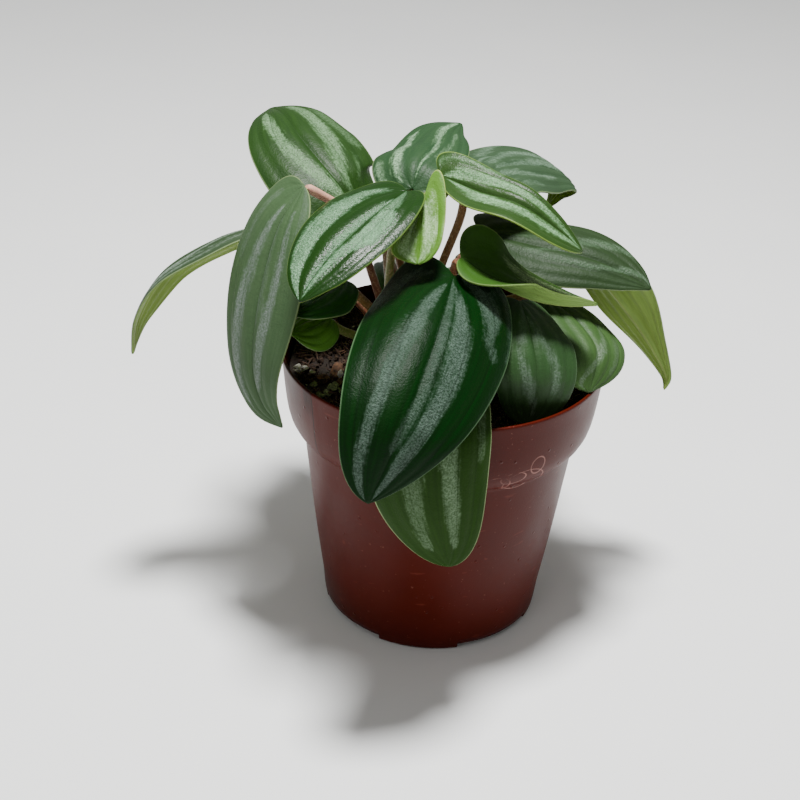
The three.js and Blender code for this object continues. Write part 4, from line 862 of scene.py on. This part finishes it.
def leaf_skin(name, dark="#304f29", deep="#203d1e", silver="#6f826e", margin="#73855c", under="#657618",
              gloss=0.38, sparkle=0.6, sheen=0.22, painted_base_shade=0.0):
    """Leaf skin: glossy green, crystalline silver bands with feathered edges, sunken darker veins, a pale
    thin margin and a plain underside with paler veins. Streaks run along the veins."""
    made, tree, shader = new_material(name)
    place = add_node(tree, "ShaderNodeTexCoord").outputs["Object"]
    mark = {label: add_node(tree, "ShaderNodeAttribute", {"attribute_name": label}).outputs["Fac"]
            for label in ("across", "along", "upper", "silver", "strength")}
    on_leaf = add_node(tree, "ShaderNodeCombineXYZ", X=mark["across"], Y=mark["along"])
    stretched = add_node(tree, "ShaderNodeVectorMath", {"operation": "MULTIPLY"}, i0=on_leaf.outputs[0],
                         i1=(15.0, 5.0, 1.0))
    shifted = add_node(tree, "ShaderNodeVectorMath", {"operation": "MULTIPLY_ADD"}, i0=place,
                       i1=(30.0, 30.0, 30.0),
                       i2=stretched.outputs[0])
    streak = add_node(tree, "ShaderNodeTexNoise", Vector=shifted.outputs[0], Scale=1.0, Detail=4.0,
                      Roughness=0.6)
    cloud = add_node(tree, "ShaderNodeTexNoise", Vector=place, Scale=150.0, Detail=3.0)
    fray = add_node(tree, "ShaderNodeTexNoise", Vector=place, Scale=650.0, Detail=3.0, Roughness=0.7)
    cells = add_node(tree, "ShaderNodeTexNoise", Vector=place, Scale=1700.0, Detail=2.0, Roughness=0.6)
    tone = add_node(tree, "ShaderNodeMath", {"operation": "MULTIPLY_ADD"}, i0=streak.outputs[0], i1=1.6,
                    i2=-0.3)
    green = add_node(tree, "ShaderNodeMix", {"data_type": "RGBA"}, Factor=tone.outputs[0],
                     i6=linear(deep), i7=linear(dark))
    ragged = add_node(tree, "ShaderNodeMath", {"operation": "MULTIPLY_ADD"}, i0=fray.outputs[0], i1=3.0,
                      i2=-1.5)
    wander = add_node(tree, "ShaderNodeMath", {"operation": "MULTIPLY_ADD"}, i0=streak.outputs[0], i1=4.4,
                      i2=-2.2)
    edge = add_node(tree, "ShaderNodeMath", {"operation": "ADD"}, i0=mark["silver"], i1=ragged.outputs[0])
    edge = add_node(tree, "ShaderNodeMath", {"operation": "ADD"}, i0=edge.outputs[0], i1=wander.outputs[0])
    inside = add_node(tree, "ShaderNodeMapRange", {"interpolation_type": "SMOOTHSTEP"}, Value=edge.outputs[0],
                      i1=-1.0, i2=1.3)
    grains = add_node(tree, "ShaderNodeMapRange", Value=cells.outputs[0], i1=0.38, i2=0.6, i3=0.35, i4=1.0)
    patches = add_node(tree, "ShaderNodeMapRange", Value=cloud.outputs[0], i1=0.3, i2=0.62, i3=0.62, i4=1.0)
    amount = add_node(tree, "ShaderNodeMath", {"operation": "MULTIPLY"}, i0=inside.outputs[0],
                      i1=mark["strength"])
    amount = add_node(tree, "ShaderNodeMath", {"operation": "MULTIPLY"}, i0=amount.outputs[0],
                      i1=grains.outputs[0])
    amount = add_node(tree, "ShaderNodeMath", {"operation": "MULTIPLY"}, i0=amount.outputs[0],
                      i1=patches.outputs[0])
    banded = add_node(tree, "ShaderNodeMix", {"data_type": "RGBA"}, Factor=amount.outputs[0],
                      i6=green.outputs[2], i7=linear(silver))
    far_out = add_node(tree, "ShaderNodeMath", {"operation": "ABSOLUTE"}, i0=mark["across"])
    veins = None
    for vein, half in ((0.0, 0.03), (0.38, 0.022), (0.72, 0.018)):
        away = add_node(tree, "ShaderNodeMath", {"operation": "SUBTRACT"}, i0=far_out.outputs[0], i1=vein)
        away = add_node(tree, "ShaderNodeMath", {"operation": "ABSOLUTE"}, i0=away.outputs[0])
        line = add_node(tree, "ShaderNodeMapRange", Value=away.outputs[0], i1=0.0, i2=half, i3=1.0, i4=0.0)
        veins = line if veins is None else add_node(tree, "ShaderNodeMath", {"operation": "MAXIMUM"},
                                                    i0=veins.outputs[0], i1=line.outputs[0])
    sunk = add_node(tree, "ShaderNodeMath", {"operation": "MULTIPLY"}, i0=veins.outputs[0], i1=0.45)
    veined = add_node(tree, "ShaderNodeMix", {"data_type": "RGBA"}, Factor=sunk.outputs[0],
                      i6=banded.outputs[2], i7=linear(deep))
    rim = add_node(tree, "ShaderNodeMapRange", Value=far_out.outputs[0], i1=0.972, i2=0.992, i4=0.75)
    margined = add_node(tree, "ShaderNodeMix", {"data_type": "RGBA"}, Factor=rim.outputs[0],
                        i6=veined.outputs[2], i7=linear(margin))
    on_rib = add_node(tree, "ShaderNodeMapRange", Value=far_out.outputs[0], i1=0.01, i2=0.03, i3=0.5, i4=0.1)
    pale_vein = add_node(tree, "ShaderNodeMath", {"operation": "MULTIPLY"}, i0=veins.outputs[0],
                         i1=on_rib.outputs[0])
    pale_rib = add_node(tree, "ShaderNodeMix", {"data_type": "RGBA"}, Factor=pale_vein.outputs[0],
                        i6=linear(under), i7=linear("#a3b06a"))
    mottled = add_node(tree, "ShaderNodeMapRange", Value=streak.outputs[0], i1=0.3, i2=0.7, i3=0.78, i4=1.1)
    below = add_node(tree, "ShaderNodeVectorMath", {"operation": "SCALE"}, i0=pale_rib.outputs[2],
                     Scale=mottled.outputs[0])
    sided = add_node(tree, "ShaderNodeMix", {"data_type": "RGBA"}, Factor=mark["upper"],
                     i6=below.outputs[0], i7=margined.outputs[2])
    # Painted shade: towards the notch both faces blend into the dark green, for the shadow that falls there.
    shade_toward_base = add_node(tree, "ShaderNodeMapRange", {"interpolation_type": "SMOOTHSTEP"}, Value=mark["along"],
                      i1=0.3, i2=0.75, i3=painted_base_shade, i4=0.0)
    grown = add_node(tree, "ShaderNodeMix", {"data_type": "RGBA"}, Factor=shade_toward_base.outputs[0],
                     i6=sided.outputs[2], i7=linear(dark))
    tree.links.new(grown.outputs[2], shader.inputs["Base Color"])
    dull = add_node(tree, "ShaderNodeMapRange", Value=amount.outputs[0], i3=gloss + 0.08, i4=gloss)
    tree.links.new(dull.outputs[0], shader.inputs["Roughness"])
    shader.inputs["IOR"].default_value = 1.42
    shader.inputs["Specular IOR Level"].default_value = sheen
    quilt = add_node(tree, "ShaderNodeTexNoise", Vector=place, Scale=330.0, Detail=2.0)
    puckered = add_node(tree, "ShaderNodeBump", Height=quilt.outputs[0], Strength=0.16, Distance=0.0011)
    rise = add_node(tree, "ShaderNodeMath", {"operation": "MULTIPLY_ADD"}, i0=amount.outputs[0], i1=sparkle,
                    i2=0.22)
    bump = add_node(tree, "ShaderNodeBump", Height=cells.outputs[0], Strength=rise.outputs[0],
                    Distance=0.0006,
                    Normal=puckered.outputs[0])
    tree.links.new(bump.outputs[0], shader.inputs["Normal"])
    return made


# The course of each leaf's bands, traced blade by blade, in hundredths: strength, then rows of how far
# down the blade, where across it from the midrib (-100 to 100) and half width. Leaves that the picture
# hides have the plant's usual bands.
usual_bands = [
    (85, [(8, -20, 5), (50, -34, 11), (92, -30, 8)]),
    (85, [(8, 20, 5), (50, 34, 11), (92, 30, 8)]),
    (45, [(12, -60, 4), (45, -76, 5), (70, -80, 3)]),
    (45, [(12, 60, 4), (45, 76, 5), (70, 80, 3)]),
]
band_courses = {
    "front_leaf": [
        (100, [(8, -16, 3), (14, -21, 5), (25, -25, 8), (42, -31, 11), (60, -32, 12), (80, -24, 13),
               (96, -24, 12)]),
        (55, [(4, -6, 5), (30, -6, 6), (58, -8, 6), (78, 2, 8)]),
        (90, [(7, -56, 8), (20, -66, 13), (34, -70, 12), (42, -64, 6), (50, -80, 2)]),
        (50, [(4, -92, 5), (30, -94, 4), (50, -96, 2)]),
        (100, [(9, 18, 2), (16, 24, 5), (28, 28, 8), (40, 32, 9), (60, 41, 9), (80, 54, 11), (96, 68, 12)]),
        (85, [(12, 62, 3), (20, 72, 6), (30, 80, 8), (40, 87, 7), (47, 92, 2)]),
    ],
    "glossy_leaf": [
        (85, [(15, 3, 5), (50, 4, 6), (92, 4, 6)]),
        (90, [(28, -30, 12), (42, -42, 24), (58, -42, 24), (68, -20, 12), (95, -14, 8)]),
        (80, [(12, 50, 4), (30, 62, 13), (50, 62, 20), (80, 62, 20), (96, 60, 15)]),
        (45, [(4, -30, 20), (30, -35, 20)]),
    ],
    "left_leaf": [
        (80, [(14, -50, 4), (30, -48, 8), (45, -42, 10), (62, -30, 13), (80, -20, 10)]),
        (80, [(12, 20, 5), (30, 28, 10), (45, 35, 12), (62, 44, 13), (85, 66, 16)]),
        (35, [(15, -12, 5), (55, -10, 5)]),
        (35, [(15, 66, 5), (45, 74, 4)]),
        (30, [(2, -85, 10), (28, -80, 8)]),
    ],
    "rear_left_leaf": [
        (95, [(16, -20, 13), (30, -24, 13), (45, -30, 11), (62, -35, 10), (82, -50, 12)]),
        (85, [(10, 18, 4), (30, 29, 10), (45, 40, 12), (62, 44, 14), (85, 44, 15)]),
        (40, [(20, 55, 2), (42, 68, 3)]),
        (35, [(50, 82, 10), (78, 80, 14)]),
    ],
    "rear_centre_leaf": [
        (90, [(10, -57, 4), (30, -53, 7), (55, -55, 8), (72, -68, 8)]),
        (80, [(10, 10, 4), (30, 6, 5), (60, 4, 8), (80, 0, 12), (94, 0, 15)]),
        (60, [(13, -88, 5), (35, -90, 7)]),
        (35, [(35, 28, 4), (72, 50, 5)]),
    ],
    "right_leaf": [
        (75, [(30, 20, 3), (56, -25, 10), (74, -58, 13), (84, -88, 10)]),
        (75, [(30, 24, 3), (56, 25, 6), (66, 28, 9), (76, 10, 11), (86, -20, 14), (95, -50, 14)]),
        (35, [(10, 28, 3), (50, 32, 3)]),
        (35, [(10, -20, 3), (45, -22, 3)]),
    ],
    "rear_right_leaf": [
        (80, [(28, -33, 4), (50, -68, 7), (62, -90, 6)]),
        (80, [(28, -20, 5), (50, -38, 8), (74, -50, 9)]),
        (80, [(26, 0, 5), (50, -3, 8), (76, -20, 10)]),
        (80, [(26, 25, 4), (48, 40, 6), (68, 44, 8)]),
        (50, [(33, 55, 3), (58, 75, 4)]),
    ],
    "young_channelled_leaf": [
        (85, [(6, -30, 10), (20, -42, 16), (45, -50, 16), (70, -42, 18), (93, -30, 16)]),
        (90, [(8, 30, 10), (30, 42, 18), (55, 45, 18), (80, 40, 16), (95, 30, 10)]),
        (40, [(10, -85, 6), (50, -88, 5)]),
    ],
    "young_curled_leaf": [
        (100, [(12, -25, 10), (30, -34, 20), (70, -36, 26), (95, -32, 20)]),
        (100, [(20, 40, 10), (45, 48, 30), (75, 48, 30), (95, 45, 20)]),
    ],
    "twisted_leaf": [
        (80, [(45, -62, 10), (60, -60, 25), (80, -50, 30), (96, -40, 30)]),
    ],
    "inner_right_leaf": [
        (80, [(18, -5, 3), (36, -20, 7), (55, -40, 9), (70, -48, 9)]),
        (70, [(45, 38, 7), (60, 28, 12), (78, 6, 14), (90, -10, 10)]),
        (35, [(12, 12, 5), (40, 30, 10)]),
    ],
    "rim_leaf": [
        (85, [(48, -38, 6), (58, -25, 10), (70, -8, 13), (82, 25, 16), (90, 70, 12)]),
        (50, [(28, 0, 7), (50, -2, 7)]),
        (40, [(65, -62, 10), (82, -55, 10)]),
    ],
    "low_front_leaf": [
        (90, [(30, -25, 10), (58, -22, 15), (72, -28, 15), (88, -34, 12)]),
        (50, [(30, -75, 8), (60, -80, 6)]),
        (60, [(30, 25, 10), (66, 32, 13), (88, 45, 12)]),
    ],
    "far_left_leaf": [
        (70, [(10, -25, 6), (50, -55, 12), (85, -50, 12)]),
        (70, [(10, 20, 5), (50, 45, 10), (90, 40, 10)]),
        (50, [(10, -70, 5), (70, -85, 5)]),
    ],
    "shaded_leaf": [
        (35, [(20, 20, 5), (70, 20, 12), (90, 30, 10)]),
        (25, [(20, -30, 5), (80, -40, 8)]),
    ],
    "right_hanging_leaf": [],
    "small_low_leaf": [(25, [(20, 0, 10), (80, 10, 12)])],
}
# The colours and gloss of each leaf, as the skin's settings. Hidden leaves keep the usual ones.
leaf_looks = {
    "front_leaf": dict(dark="#052806", deep="#031604", silver="#4c5d52", margin="#4f6c4a", gloss=0.32,
        sparkle=1.1, sheen=0.08),
    "low_front_leaf": dict(dark="#24400f", deep="#1b330b", silver="#6c8465", margin="#8fa070", gloss=0.36,
        sheen=0.08),
    "left_leaf": dict(dark="#3f5436", deep="#334a2d", silver="#707974", margin="#6f7f56", gloss=0.55,
        sparkle=0.2),
    "glossy_leaf": dict(dark="#133204", deep="#0c2704", silver="#78a17c", margin="#56702f", gloss=0.22,
        sparkle=1.5, sheen=0.3),
    "rear_left_leaf": dict(dark="#213c11", deep="#152d0c", silver="#6b8a65", gloss=0.36),
    "rear_centre_leaf": dict(dark="#284224", deep="#1d381f", silver="#8bac88", gloss=0.4),
    "young_curled_leaf": dict(dark="#557c2f", deep="#44681f", silver="#90ad81", margin="#899b51",
        under="#6c8626", gloss=0.3, sparkle=0.4),
    "young_channelled_leaf": dict(dark="#294019", deep="#1f3911", silver="#7ba578", margin="#738d42",
        under="#6c8626", gloss=0.28, sparkle=0.8),
    "rear_right_leaf": dict(dark="#30452c", deep="#263b26", silver="#657d68", under="#647f13", gloss=0.45),
    "right_leaf": dict(dark="#24371b", deep="#192a13", silver="#4b614a", margin="#76865c", gloss=0.42),
    "right_hanging_leaf": dict(under="#7d9b47"),
    # The twisted leaf's skin has painted shade towards its notch.
    "twisted_leaf": dict(dark="#30501a", deep="#244012", silver="#8aa272", margin="#71884a", under="#7a9a50",
        gloss=0.34, painted_base_shade=0.45, sheen=0.12),
    "inner_right_leaf": dict(dark="#2b4725", deep="#22391b", silver="#5b6b5c", margin="#4a6244", gloss=0.42),
    "rim_leaf": dict(dark="#385228", deep="#29421e", silver="#5b6b58", margin="#6f8256", gloss=0.42),
    "far_left_leaf": dict(dark="#2f4129", deep="#253420", silver="#8b9b8c", under="#86a250", gloss=0.45),
    "shaded_leaf": dict(dark="#1a4a12", deep="#12380c", silver="#5c7f50", gloss=0.35),
    "small_low_leaf": dict(under="#7d9a35", dark="#5a8931", deep="#446f24", silver="#8ab661", gloss=0.35),
}
for leaf in leaves:
    blade_name = f"{leaf.name}_blade"
    made = blade_mesh(blade_name, leaf, band_courses.get(leaf.name, usual_bands))
    made.materials.append(leaf_skin(f"waxy_leaf_skin_{leaf.name}", **leaf_looks.get(leaf.name, {})))
    blade = bpy.data.objects.new(blade_name, made)
    bpy.context.scene.collection.objects.link(blade)
    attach(blade, "root")
    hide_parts(leaf.name)
